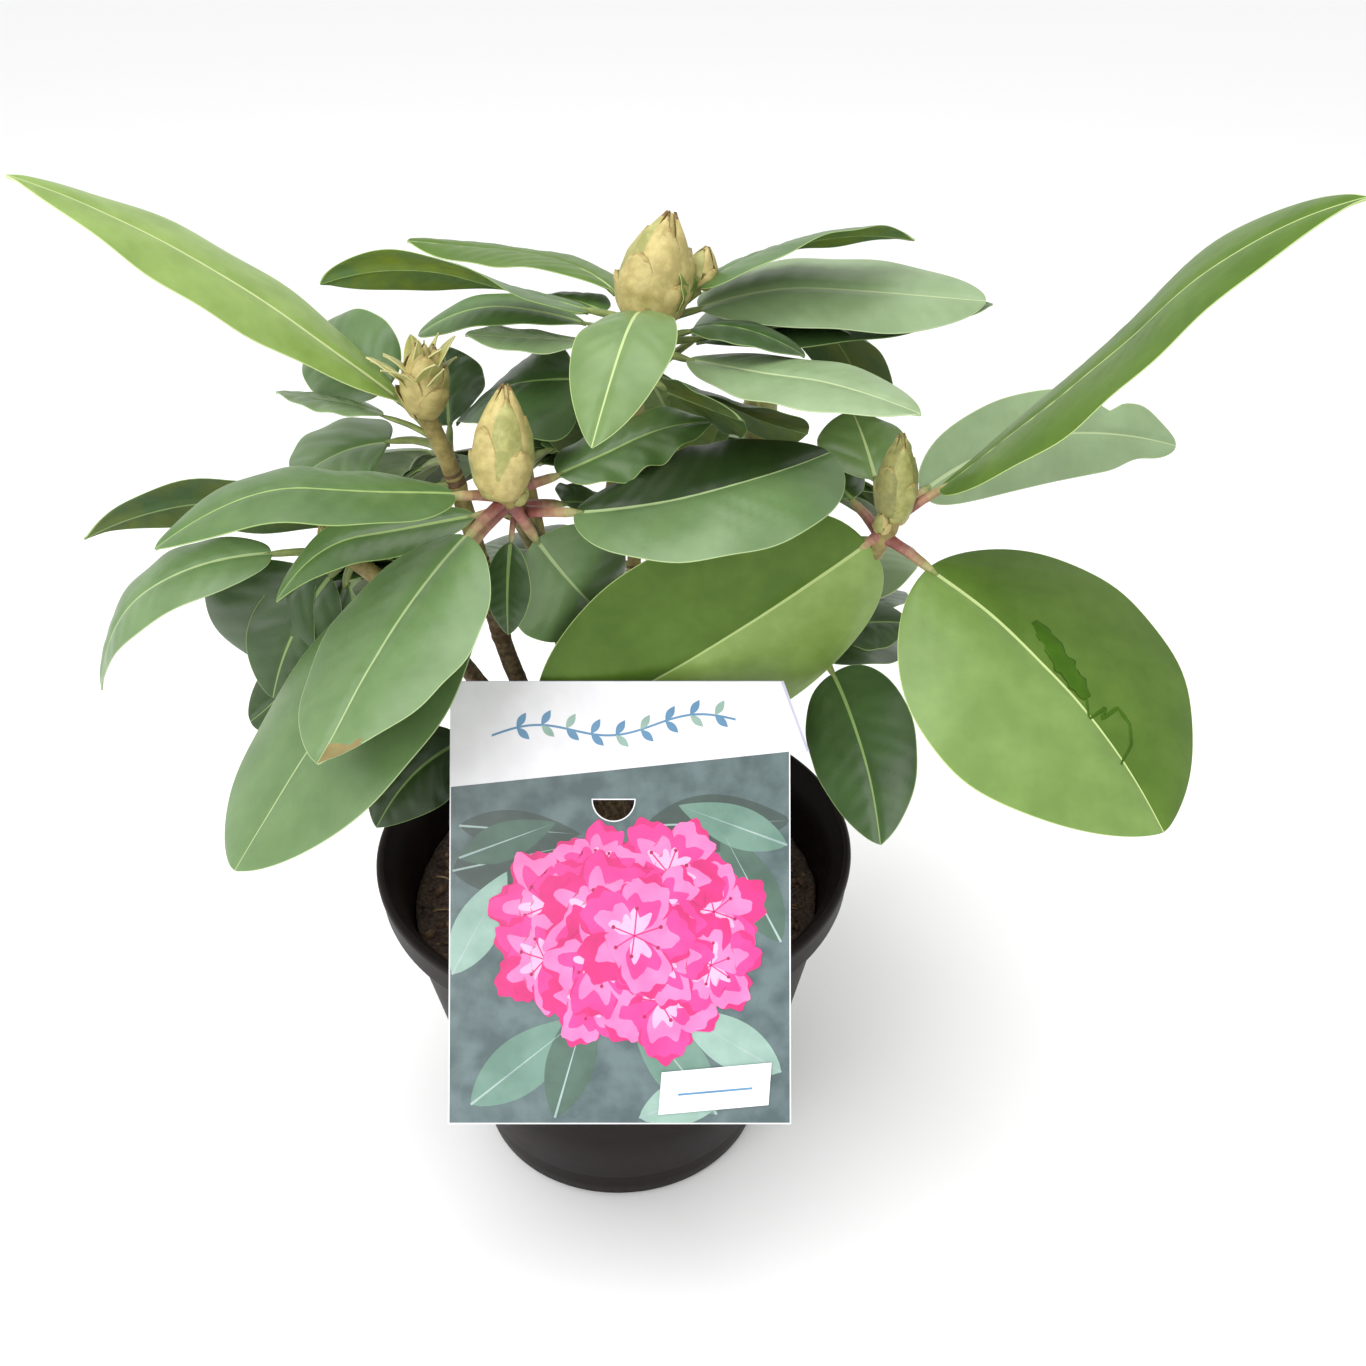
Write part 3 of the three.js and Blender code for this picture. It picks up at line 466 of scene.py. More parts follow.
def crowds(points, own):
    return any(((points[:, None] - others[None]) ** 2).sum(-1).min() < fillRule["room"] ** 2
               for other, others in enumerate(occupied) if other != own)


for index, plantlet in enumerate(grown):
    shoot = plantlet["shoot"]
    draw = seeded(fillRule["firstSeed"] + fillRule["seedStep"] * index)
    for k in range(shoot["fill"]):
        for attempt in range(fillRule["tries"]):
            longest = between(draw, fillRule["long"])
            below = between(draw, fillRule["below"])
            low, high = shoot["fan"]
            azimuth = low + (high - low) * ((fillRule["golden"] * k + fillRule["retry"] * attempt) % 1)
            rise = between(draw, shoot["fillRise"])
            wide = longest * between(draw, fillRule["slender"])
            leaf = leafRow(below, azimuth, rise, longest, wide, fillRule["tones"][(k + index) % 3],
                           bow=between(draw, fillRule["bow"]), roll=between(draw, fillRule["roll"]))
            points = leafPoints(rootOf(plantlet, leaf), leaf)
            if not leavesCrown(points) and not crowds(points, index):
                plantlet["leaves"].append(leaf)
                occupied[index] = np.concatenate([occupied[index], points])
                break
print("grown:", [(g["shoot"]["name"], len(g["leaves"])) for g in grown])


# leaf materials: a thick evergreen leaf, waxy above and matt below

leafTones = {
    "spring": {"top": "#86a052", "shade": "#769143", "under": "#93a868", "vein": "#bccb8c", "coat": 0.1},
    "young": {"top": "#728f46", "shade": "#65823b", "under": "#8a9f62", "vein": "#b9cb86", "coat": 0.08},
    "grassy": {"top": "#56722a", "shade": "#4a6621", "under": "#748634", "vein": "#a9bd76", "coat": 0.0,
               "sheen": 0.22},
    "fresh": {"top": "#69844a", "shade": "#5c773f", "under": "#8a9f62", "vein": "#a9bb7c", "coat": 0.1},
    # a grey-green top that is painted sheen: the soft reflection of a bright sky on glossy upper sides
    "silver": {"top": "#839a70", "shade": "#788f64", "under": "#86995f", "vein": "#a7b98a", "coat": 0.3},
    "pale": {"top": "#658150", "shade": "#597545", "under": "#7d9052", "vein": "#9db27c", "coat": 0.2},
    "mid": {"top": "#54713d", "shade": "#476432", "under": "#748629", "vein": "#8fa863", "coat": 0.1},
    # an old leaf's dark green, also used as painted shade on leaves under the crown
    "deep": {"top": "#3c562c", "shade": "#324924", "under": "#586420", "vein": "#7c9557", "coat": 0.06},
    # the darkest tone is painted shade for leaves that lie in the crown's shadow
    "dusk": {"top": "#2b401c", "shade": "#233616", "under": "#4f5c28", "vein": "#6b8448", "coat": 0.04},
    "bract": {"top": "#b5b36c", "shade": "#a5a35c", "under": "#bdb474", "vein": "#c8c48c", "coat": 0.05},
}
leafSkin = {"mottle": {"size": 14, "detail": 3.0, "rough": 0.6, "ramp": (0.35, 0.68)}, "cellSize": 0.9,
            "grain": 0.25, "topCells": 0.08, "underCells": 0.2, "topRoughness": 0.38, "underRoughness": 0.7,
            "coatRoughness": 0.32, "sheen": 0.5}


def leafMaterial(name, light, dark, roughness, coat, cellDepth, sheen=leafSkin["sheen"]):
    finish = {"Roughness": roughness, "Coat Weight": coat, "Coat Roughness": leafSkin["coatRoughness"],
              "Specular IOR Level": sheen}
    material, tree, shader, place, _ = mottledMaterial(name, light, dark, leafSkin["mottle"], finish)
    cellScale = 1 / (leafSkin["cellSize"] * mm)
    cells = addNode(tree, "ShaderNodeTexVoronoi", {"Scale": cellScale}, {"Vector": place})
    addBump(tree, shader, cells.outputs["Distance"], leafSkin["grain"], cellDepth)
    return material


leafMaterials, leafSlot = [], {}
for tone, colours in leafTones.items():
    leafSlot[tone] = len(leafMaterials)
    # cuticle wax gives the upper side a soft even gloss; the cells leave a fine grain in it
    leafMaterials.append(leafMaterial(f"waxy_leaf_{tone}", colours["top"], colours["shade"],
                                      leafSkin["topRoughness"], colours["coat"], leafSkin["topCells"],
                                      colours.get("sheen", leafSkin["sheen"])))
    # the lower side has no wax and looks matt and yellower
    leafMaterials.append(leafMaterial(f"matt_leaf_back_{tone}", colours["under"], colours["top"],
                                      leafSkin["underRoughness"], 0.0, leafSkin["underCells"]))
    # midrib and margin are pale, firm tissue; on the rim the pale colour is also painted light that offsets
    # the darkening smooth shading gives the thin edge
    veinLook = {"Base Color": linear(colours["vein"]), "Roughness": 0.5, "IOR": 1.45}
    leafMaterials.append(newMaterial(f"leaf_vein_{tone}", veinLook)[0])
# a healed graze on a blade is darker and smoother; a withered edge is dull and brown
leafSlot["graze"] = len(leafMaterials)
leafMaterials.append(leafMaterial("healed_leaf_graze", "#3f6312", "#33530d", 0.4, 0.0, 0.05, 0.12))
leafSlot["dry"] = len(leafMaterials)
leafMaterials.append(leafMaterial("withered_leaf_edge", "#8c8050", "#6f6238", 0.7, 0.0, 0.2))


# leaf blades; sizes are mm, and places along or across a blade are shares of its length or half width

blade = {"stations": 58, "cells": 13, "first": 0.012, "last": 0.996, "crowding": 0.94, "slimmest": 0.25,
         "thickness": 0.45, "edgeThin": 0.12, "fullWidth": 30, "margin": 0.22, "marginMost": 0.16,
         "ribFoot": 0.62, "ribTip": 0.16, "ribMost": 0.28, "ribDepth": 0.5, "ribRise": 1.0, "ribWidth": 1.1,
         "valleyWidth": 1.4, "cup": 0.04, "veinSpacing": 8.5, "veinVary": (0.85, 1.15), "veinSlope": 0.62,
         "veinBend": 0.006, "veinOffset": 1.5, "veinWidth": 0.75, "veinDepth": 0.2, "veinUnder": 0.14,
         "puff": 0.2, "wander": 0.7, "wanderSize": 17, "reliefFade": 0.3, "lumps": 0.8, "lumpSize": 24,
         "wave": 0.5, "waveTurns": (2.2, 3.8), "browning": 0.05, "browningSize": 3, "firstSeed": 1000,
         "seedStep": 97}


def addLeaf(bag, root, leaf, seed):
    draw = seeded(seed)
    stalk = leaf.get("stalk", leafRule["stalk"]) / leaf["long"]
    # stations crowd towards the base and the tip, where the outline turns fast
    even = np.linspace(blade["first"], blade["last"], blade["stations"])
    q = 0.5 - 0.5 * np.cos(np.pi * even ** blade["crowding"])
    s = stalk + (1 - stalk) * q
    centre = midribAt(root, leaf, s)
    across, normal = midribFrame(root, leaf, s)
    w = np.maximum(leaf["wide"] / 2 * bladeWidth(q, leaf), blade["slimmest"])
    margin = np.minimum(blade["margin"], blade["marginMost"] * w)
    rib = np.minimum(blade["ribFoot"] + (blade["ribTip"] - blade["ribFoot"]) * q, blade["ribMost"] * w)
    inner = np.linspace(0, 1, blade["cells"] + 1)

    def halfAcross(hand):
        # a bite narrows that half where it lies along the blade
        edge = w
        for bite in leaf.get("bites", ()):
            if bite["hand"] == hand:
                edge = edge * (1 - bite["deep"] * np.exp(-((q - bite["at"]) / bite["long"]) ** 2))
        flesh = rib + (edge - margin - rib) * inner[:, None]
        return edge, np.concatenate([[np.zeros_like(w)], flesh, [edge]]).T
    (rightEdge, rightHalf), (leftEdge, leftHalf) = halfAcross(-1), halfAcross(1)
    x = np.concatenate([-rightHalf[:, :0:-1], leftHalf], axis=1)
    share = x / np.where(x < 0, rightEdge[:, None], leftEdge[:, None])
    scale = min(1.0, leaf["wide"] / blade["fullWidth"])
    lift = -leafRule["arch"] * x ** 2 / w[:, None]
    # puffed tissue between sunken side veins that run forward from the midrib
    spacing = blade["veinSpacing"] * between(draw, blade["veinVary"]) * scale
    along = (q * leaf["long"] * (1 - stalk))[:, None]
    reach = along - blade["veinSlope"] * np.abs(x) - blade["veinBend"] * x ** 2
    reach = reach + blade["veinOffset"] * np.sign(x)
    stray = softNoise(np.stack([reach, x, np.full_like(x, seed)], -1), blade["wanderSize"], seed)
    stray = stray * blade["wander"]
    phase = reach / spacing + 0.25 * stray
    groove = np.exp(-((phase - np.round(phase)) * spacing / blade["veinWidth"]) ** 2)
    fade = np.clip((1 - np.abs(share)) / blade["reliefFade"], 0, 1) * np.clip(np.abs(x) / 2, 0, 1)
    fade = fade * np.sin(np.pi * q)[:, None] ** 0.5
    puff = blade["puff"] * (0.5 + 0.5 * np.cos(2 * np.pi * (phase - 0.5)))
    lift = lift + (puff - blade["veinDepth"] * groove) * fade * scale
    # the two halves meet in a shallow valley along the midrib
    valley = np.exp(-(x / blade["valleyWidth"]) ** 2)
    lift = lift - blade["ribDepth"] * scale * valley + blade["cup"] * np.abs(x) * (1 - share ** 2)
    # slow lumps over the whole blade and a gentle wave along each edge
    spot = np.stack([np.broadcast_to(along, x.shape), x, np.full_like(x, 3.1 * seed)], -1)
    lift = lift + blade["lumps"] * scale * softNoise(spot, blade["lumpSize"], seed)
    waveDepth = leaf.get("wave", blade["wave"]) * scale
    for hand in (-1, 1):
        turns = between(draw, blade["waveTurns"])
        start = 2 * np.pi * draw()
        wave = np.sin(2 * np.pi * turns * q + start) * np.sin(np.pi * q) ** 0.7
        lift = lift + waveDepth * wave[:, None] * np.clip(hand * share, 0, 1) ** 2.2
    top = centre[:, None] + across[:, None] * x[..., None] + normal[:, None] * lift[..., None]
    ridgeShape = np.exp(-(x / (blade["ribWidth"] * scale)) ** 2)
    ridge = blade["ribRise"] * scale * (1 - 0.75 * q)[:, None] * ridgeShape
    drop = blade["thickness"] * np.clip((1 - np.abs(share)) / blade["edgeThin"], 0.35, 1) + ridge
    drop = drop + blade["veinUnder"] * groove * fade
    bottom = top - normal[:, None] * drop[..., None]
    first = leafSlot[leaf["tone"]]
    cols = x.shape[1] - 1
    firm = [0, cols // 2 - 1, cols // 2, -1]
    upper, under = np.full(cols, first), np.full(cols, first + 1)
    # the half on the left of the midrib may have a tone of its own, which paints in the light and shade that
    # half of the blade catches
    upper[cols // 2:] = leafSlot[leaf.get("half", leaf["tone"])]
    upper[firm] = under[firm] = first + 2
    slots = np.tile(upper, (len(q) - 1, 1))
    if "browned" in leaf:
        ragged = q[:-1, None] + blade["browning"] * softNoise(spot[:-1, :-1], blade["browningSize"], seed)
        slots[:, cols // 2:] = np.where(ragged > leaf["browned"], leafSlot["dry"], slots)[:, cols // 2:]
    addSheet(bag, top, bottom, slots, first + 2, under)
    for mark in leaf.get("marks", ()):
        addMark(bag, top, normal, q, share, mark)


markLook = {"sides": 10, "ragged": 0.3, "raggedSize": 1.4, "seed": 9}


def addMark(bag, top, normal, q, share, mark):
    # a low welt on the upper side, along points given as shares of the blade's length and half width
    way = np.array(mark["way"])
    knots = np.linspace(0, 1, len(way))
    t = np.linspace(0, 1, 6 * len(way))
    row = np.interp(np.interp(t, knots, way[:, 0]), q, np.arange(len(q)))
    centre, facing = [], []
    for r, at in zip(row, np.interp(t, knots, way[:, 1])):
        i = int(r)
        c = np.interp(at, share[i], np.arange(share.shape[1]))
        j = int(c)
        near = top[i, j] + (top[i, j + 1] - top[i, j]) * (c - j)
        far = top[i + 1, j] + (top[i + 1, j + 1] - top[i + 1, j]) * (c - j)
        centre.append(near + (far - near) * (r - i))
        facing.append(normal[i])
    centre, facing = np.array(centre), np.array(facing)
    along = unit(np.gradient(centre, axis=0))
    side = unit(np.cross(facing, along))
    ragged = 1 + markLook["ragged"] * softNoise(centre, markLook["raggedSize"], markLook["seed"])
    radius = mark["wide"] / 2 * np.sin(np.pi * (0.06 + 0.88 * t)) ** 0.5 * ragged
    angle = bearings(markLook["sides"])
    rings = (centre[:, None] - side[:, None] * (radius[:, None] * np.cos(angle))[..., None]
             + facing[:, None] * (mark["tall"] * np.sin(angle))[..., None])
    addTube(bag, rings, leafSlot["graze"])


# an opening bud stands in a ruff of slim bracts
ruff = {"count": 11, "first": 40, "turn": 137.508, "seed": 61, "below": (0, 2), "rise": (50, 82),
        "long": (18, 26), "wide": (5, 7.5), "hook": (3, -2), "roll": (-15, 15)}
ruffShape = {"stalk": 1, "bow": 3, "foot": 0.4, "end": 1.2, "tone": "bract"}
bractSeed = {"single": 3900, "ruff": 4000}
leafCount = 0
for plantlet in grown:
    shoot = plantlet["shoot"]
    bag = newBag()
    for leaf in plantlet["leaves"]:
        leafCount += 1
        addLeaf(bag, rootOf(plantlet, leaf), leaf, blade["firstSeed"] + blade["seedStep"] * leafCount)
    if "bract" in shoot:
        addLeaf(bag, rootOf(plantlet, shoot["bract"]), shoot["bract"], bractSeed["single"])
    draw = seeded(ruff["seed"])
    for k in range(ruff["count"] if "open" in shoot["bud"] else 0):
        bract = {key: between(draw, ruff[key]) for key in ("below", "rise", "long", "wide", "hook", "roll")}
        bract.update(ruffShape, azimuth=ruff["first"] + ruff["turn"] * k)
        addLeaf(bag, rootOf(plantlet, bract), bract, bractSeed["ruff"] + k)
    buildPiece(f"leaf_blades_{shoot['name']}", bag, leafMaterials, [f"leaves_{shoot['name']}"])
print("leaf blades:", leafCount)


# leaf stalks: flushed pink on the two youngest shoots, fading towards the blade, green on the others

stalkLook = {"sides": 12, "rows": 21, "flushRadius": (2.0, 1.4), "radius": (1.6, 1.1), "run": 0.035,
             "fadeFrom": 0.3, "squash": 0.85, "fullWidth": 26,
             "mottle": {"size": 4, "detail": 2.0, "rough": 0.5, "ramp": (0.4, 0.6)}}
stalkColours = (("flushed_leaf_stalk", "#90544c", "#77463e"), ("flush_fading_1", "#98655a", "#805448"),
                ("flush_fading_2", "#a0775f", "#8a664e"), ("flush_fading_3", "#a48a64", "#8f7852"),
                ("flush_fading_4", "#a39c68", "#8c8855"), ("green_leaf_stalk", "#84904f", "#6f7c44"))
greenStalk = len(stalkColours) - 1
stalkMaterials = [mottledMaterial(name, colour, shade, stalkLook["mottle"], {"Roughness": 0.45})[0]
                  for name, colour, shade in stalkColours]


def ringAround(centre, across, normal, radius, sides, squash=1.0):
    # normal x tangent: rings turn left about the way from root to tip
    angle = bearings(sides)
    radius = np.asarray(radius, float)[:, None]
    return (centre[:, None] + across[:, None] * (radius * np.cos(angle))[..., None]
            + normal[:, None] * (radius * squash * np.sin(angle))[..., None])


bag = newBag()
for plantlet in grown:
    flush = plantlet["shoot"].get("flush", False)
    foot, end = stalkLook["flushRadius" if flush else "radius"]
    for leaf in plantlet["leaves"]:
        root = rootOf(plantlet, leaf)
        stalk = leaf.get("stalk", leafRule["stalk"]) / leaf["long"]
        scale = min(1.0, leaf["wide"] / stalkLook["fullWidth"])
        s = np.linspace(0, stalk + (1 - stalk) * stalkLook["run"], stalkLook["rows"])
        across, normal = midribFrame(root, leaf, s)
        way = s / s[-1]
        # the stalk thins where it runs under the blade and swells where it leaves the stem
        thinning = 1 - 0.6 * np.clip((way - 0.75) / 0.25, 0, 1) ** 1.5
        radius = (foot + (end - foot) * way) * scale * thinning + 0.5 * np.exp(-(way / 0.12) ** 2)
        centre = midribAt(root, leaf, s) - normal * (0.8 * scale * np.clip((way - 0.5) / 0.4, 0, 1))[:, None]
        faded = np.clip((way[:-1] - stalkLook["fadeFrom"]) / (1 - stalkLook["fadeFrom"]), 0, 0.999)
        slots = np.ceil(faded * greenStalk).astype(int) if flush else np.full(len(way) - 1, greenStalk)
        rings = ringAround(centre, across, normal, radius, stalkLook["sides"], stalkLook["squash"])
        addTube(bag, rings, slots)
buildPiece("leaf_stalks", bag, stalkMaterials)
print("leaf stalks")


# trunk, boughs and stems with the relief of the bark

barkLook = {"trunkSides": 40, "sides": 22, "step": 1.1, "trunkRidge": 0.35, "boughRidge": 0.2,
            "stemRidge": 0.08, "scarSpacing": 7.5, "scar": 0.45, "seasonLength": 31, "overlap": 0.004,
            "bump": 0.5, "bumpDepth": 0.25}


def barkMaterial(name, light, dark, roughness, grain):
    mottle = {"size": grain, "detail": 5.0, "rough": 0.65, "ramp": (0.38, 0.62)}
    material, tree, shader, _, patches = mottledMaterial(name, light, dark, mottle, {"Roughness": roughness})
    addBump(tree, shader, patches, barkLook["bump"], barkLook["bumpDepth"])
    return material


# older wood is grey brown and finely fissured; this year's stem is smooth and olive
woodMaterials = [barkMaterial("fissured_brown_bark", "#7d6a4f", "#4a3b2b", 0.9, 2.2),
                 barkMaterial("smooth_olive_stem", "#9a8c52", "#75683a", 0.6, 4.0),
                 barkMaterial("corky_ring_scar", "#6a5236", "#4d3b28", 0.8, 2.0)]
oldWood, stemWood, scarWood = 0, 1, 2


def limbRings(curve, start, end, radius, sides, seed, fissure, rows=None):
    length = np.linalg.norm(np.diff(bezier(curve, np.linspace(start, end, 60)), axis=0), axis=1).sum()
    rows = rows or max(6, int(length / barkLook["step"]))
    t = np.linspace(start, end, rows)
    centre = bezier(curve, t)
    along = tangentOf(curve, t)
    side = np.array([0.3, 1, 0.2])
    sideRows = []
    for way in along:
        side = unit(side - way * (side @ way))
        sideRows.append(side)
    sideRows = np.array(sideRows)
    other = np.cross(along, sideRows)
    angle = bearings(sides)
    distance = (t - start) / (end - start) * length
    flat = np.stack([np.broadcast_to(row, (rows, sides))
                     for row in (np.cos(angle) * 4.5, np.sin(angle) * 4.5, distance[:, None] * 0.22)], -1)
    bark = softNoise(flat, 1.3, seed) + 0.6 * softNoise(flat, 0.6, seed + 1)
    # growth rings of crowded leaf scars mark where each season's shoot began
    season = (distance + seed * 5) % barkLook["seasonLength"]
    swell = 0.35 * np.exp(-((season - 15) / 1.1) ** 2) + 0.3 * np.exp(-((season - 18) / 0.8) ** 2)
    ring = radius(t)[:, None] + fissure * bark + swell[:, None]
    # single leaf scars sit in a spiral
    for k in range(int(length / barkLook["scarSpacing"])):
        spot, turn = (k + 0.6) * barkLook["scarSpacing"], k * 2.4 + seed
        away = np.abs((angle[None] - turn + np.pi) % (2 * np.pi) - np.pi) * 3.2
        ring = ring + barkLook["scar"] * np.exp(-(away / 1.5) ** 2 - ((distance[:, None] - spot) / 0.9) ** 2)
    rings = (centre[:, None] + sideRows[:, None] * (ring * np.cos(angle))[..., None]
             + other[:, None] * (ring * np.sin(angle))[..., None])
    return rings, swell[:-1] > 0.12


def trunkRadius(t):
    flare = (trunk["footRadius"] - trunk["radius"]) * (1 - np.minimum(1, t / trunk["flareShare"])) ** 2
    return trunk["radius"] + (trunk["topRadius"] - trunk["radius"]) * t + flare


def addLimbs(bag, start, end, wood, seed, ridge):
    for index, plantlet in enumerate(grown):
        bough, twig = plantlet["shoot"]["bough"], plantlet["shoot"]["twig"]
        rings, scarred = limbRings(plantlet["curve"], start, end, lambda t: bough + (twig - bough) * t,
                                   barkLook["sides"], seed + index, ridge)
        addTube(bag, rings, np.where(scarred, scarWood, wood))


bag = newBag()
rings, _ = limbRings(trunkCurve, 0, 1, trunkRadius, barkLook["trunkSides"], 3, barkLook["trunkRidge"])
addTube(bag, rings, oldWood)
addLimbs(bag, 0, trunk["boughShare"] + barkLook["overlap"], oldWood, 11, barkLook["boughRidge"])
buildPiece("trunk_and_boughs", bag, woodMaterials,
           ["trunk"] + [f"bough_{g['shoot']['name']}" for g in grown])

bag = newBag()
addLimbs(bag, trunk["boughShare"], 1, stemWood, 31, barkLook["stemRidge"])
buildPiece("shoot_stems", bag, woodMaterials)
print("trunk, boughs and stems")


# buds: overlapping scales in a spiral round a core

budLook = {"rows": 18, "thickness": 0.3, "turn": 137.508, "half": 0.95, "bigFrom": 10, "big": 14, "small": 10,
           "side": 7, "sideRise": 74, "twigFrom": 6, "twigShare": 0.25, "coreShare": 0.86}
budAcross = np.array([-1, -0.93, -0.75, -0.5, -0.25, 0, 0.25, 0.5, 0.75, 0.93, 1])
# radius and height of a bud from foot to point, as shares of its half thickness and length
budProfile = np.array([(0, -0.1), (0.45, -0.06), (0.8, 0.08), (1, 0.3), (0.86, 0.55), (0.44, 0.8),
                       (0.09, 0.96), (0.01, 1.0)])


def plainMaterial(name, colour, shade, roughness, size):
    mottle = {"size": size, "detail": 4.0, "rough": 0.6, "ramp": (0.4, 0.62)}
    return mottledMaterial(name, colour, shade, mottle, {"Roughness": roughness})[0]


# bud scales are papery and slightly sticky: straw to olive bodies with thin browned edges and tips
budMaterials = [plainMaterial("bud_scale_straw", "#bdae72", "#a5965c", 0.5, 3.5),
                plainMaterial("bud_scale_green", "#a8a566", "#8d8d50", 0.5, 3.5),
                plainMaterial("bud_scale_olive", "#8c8a50", "#797a45", 0.5, 2.2),
                plainMaterial("bud_scale_browned_edge", "#a99a5e", "#96824c", 0.6, 1.5),
                plainMaterial("bud_scale_brown_tip", "#8a6c42", "#6b4e32", 0.6, 1.5)]
straw, green, olive, edgeSlot, tipSlot = range(5)
paleBuds = ("top", "front_left", "high_left")


def profileRadius(share):
    return np.interp(share, budProfile[:, 1], budProfile[:, 0])


def addBud(bag, foot, bud, seed, scales, tones):
    draw = seeded(seed)
    axis = direction(bud["azimuth"], bud["rise"])
    side = unit(np.cross(axis, [0.2, 1, 0.1]))
    other = np.cross(axis, side)
    radius, long = bud["thick"] / 2, bud["long"]
    share = np.linspace(-0.08, 0.98, 16)
    angle = bearings(16)
    core = (foot + axis * (share * long)[:, None, None]
            + (side * np.cos(angle)[:, None] + other * np.sin(angle)[:, None])
            * (profileRadius(share) * radius * budLook["coreShare"])[:, None, None])
    addTube(bag, core, tones[0])
    v = np.linspace(0, 1, budLook["rows"]) ** 0.85
    u = budAcross
    keel = radius * (0.05 * np.clip(1 - np.abs(u) ** 2.2, 0, 1) + 0.02 * (1 - np.abs(u)) ** 4)
    streaks = 0.012 * radius * np.cos(np.arange(len(u)) * np.pi) * np.clip(1 - v, 0, 0.5)[:, None]
    for k in range(scales):
        order = k / (scales - 1)
        # low scales are short and broad, the last ones long and narrow, closing to the bud's point
        low = -0.1 + 0.5 * order
        tall = np.interp(order, (0, 0.25, 0.55, 1), (0.36, 0.66, 0.98, 1.0)) - low - 0.01 * draw()
        high = low + tall * v
        turn = math.radians(budLook["turn"]) * k + 0.2 * draw()
        around = profileRadius(np.minimum(high, 0.99)) * radius * 0.9 + 0.05 * radius
        standOff = 0.02 + (1 - order) * 0.09 + (0.02 + 0.03 * draw()) * v ** 3
        lift = standOff * radius * np.clip((1 - high) / 0.25, 0, 1)
        lift = lift + bud.get("open", 0) * (0.4 + 0.6 * draw()) * radius * np.clip(v - 0.35, 0, 1) ** 1.5
        wide = (1 - v) ** 0.62 * (0.85 + 0.75 * v) * (1 - 0.4 * order)
        halfTurn = np.minimum(1.4, budLook["half"] * radius / np.maximum(around, 0.3 * radius))
        swing = turn + wide[:, None] * u * halfTurn[:, None]
        reach = (around + lift)[:, None] + keel + streaks
        ring = side * np.cos(swing)[..., None] + other * np.sin(swing)[..., None]
        level = foot + axis * (high * long)[:, None, None]
        top = level + ring * reach[..., None]
        bottom = level + ring * (reach - budLook["thickness"])[..., None]
        body = tones[int(draw() * len(tones)) % len(tones)]
        slots = np.full((len(v) - 1, len(u) - 1), body)
        slots[4:, [0, -1]] = edgeSlot
        slots[-2] = np.where(np.abs(u[:-1] + u[1:]) > 0.9, edgeSlot, body)
        slots[-1] = tipSlot if high[-1] > 0.9 else edgeSlot
        addSheet(bag, top[::-1], bottom[::-1], slots[::-1], edgeSlot, body)


bag = newBag()
for index, plantlet in enumerate(grown):
    shoot = plantlet["shoot"]
    crown = np.array(shoot["crown"], float)
    tones = [straw, straw, green] if shoot["name"] in paleBuds else [green, olive, olive]
    scales = budLook["big" if shoot["bud"]["thick"] > budLook["bigFrom"] else "small"]
    addBud(bag, crown, shoot["bud"], 500 + index, scales, tones)
    for k, bud in enumerate(shoot.get("sideBuds", [])):
        root = rootOf(plantlet, bud)
        foot = root + direction(bud["azimuth"], bud["rise"]) * bud["out"]
        upright = {**bud, "rise": budLook["sideRise"]}
        addBud(bag, foot, upright, 700 + 10 * index + k, budLook["side"], [straw, green])
        if bud["out"] > budLook["twigFrom"]:
            twigRadius = bud["thick"] * budLook["twigShare"]
            rings, _ = limbRings([root, (root + foot) / 2, foot], 0, 1, lambda t: np.full_like(t, twigRadius),
                                 12, 5, 0.05, 8)
            addTube(bag, rings, green)
buildPiece("flower_buds", bag, budMaterials)
print("buds")


# pot: thin black polypropylene, injection moulded

pot = {"height": 130, "rim": 85, "foot": 54, "wall": 1.6, "floor": 3, "bandDepth": 13, "bandStep": 3.2,
       "sides": 168, "holes": 6, "holeRadius": 5, "holeRing": 40, "holeSides": 28, "cutFrom": -4, "cutTo": 8,
       "dust": {"size": 26, "detail": 6.0, "rough": 0.7, "ramp": (0.42, 0.72)}, "grainSize": 0.9}


def wallAt(z):
    return pot["foot"] + (pot["rim"] - pot["bandStep"] - 1 - pot["foot"]) * z / pot["height"]


def potProfile():
    # radius and height of the outside from the foot to the rim, then of the inside down to the floor
    h, rim, band, wall = pot["height"], pot["rim"], pot["height"] - pot["bandDepth"], pot["wall"]
    rows = [(44, 0), (50, 0), (51.6, 0.25), (52.7, 0.9), (wallAt(2.4), 2.4)]
    rows += [(wallAt(z), z) for z in (8, 14, 14.6)]
    rows += [(wallAt(z) + 0.35, z) for z in (15, 40, 66, 92, 113)]
    rows += [(wallAt(band) + 0.4, band - 1.2), (wallAt(band) + 0.9, band - 0.3), (rim - 2.1, band + 0.1),
             (rim - 1.5, band + 0.7), (rim - 1.2, band + 1.8), (rim - 0.55, h - 4.2), (rim - 0.1, h - 3.2),
             (rim, h - 2.2), (rim - 0.1, h - 1.1), (rim - 0.6, h - 0.3), (rim - 1.4, h),
             (rim - 2.2, h - 0.15), (rim - 2.8, h - 0.9), (rim - 3.2, h - 2.4),
             (wallAt(h - 5) - wall + 0.6, h - 5)]
    rows += [(wallAt(z) - wall, z) for z in (116, 115, 90, 60, 30, 5)]
    rows += [(wallAt(pot["floor"]) - wall - 1.4, pot["floor"]), (30, pot["floor"])]
    return rows


def lathe(rows, sides):
    angle = bearings(sides)
    r, z = np.array(rows, float).T[..., None]
    return np.stack([r * np.cos(angle), r * np.sin(angle), np.broadcast_to(z, (len(rows), sides))], -1)


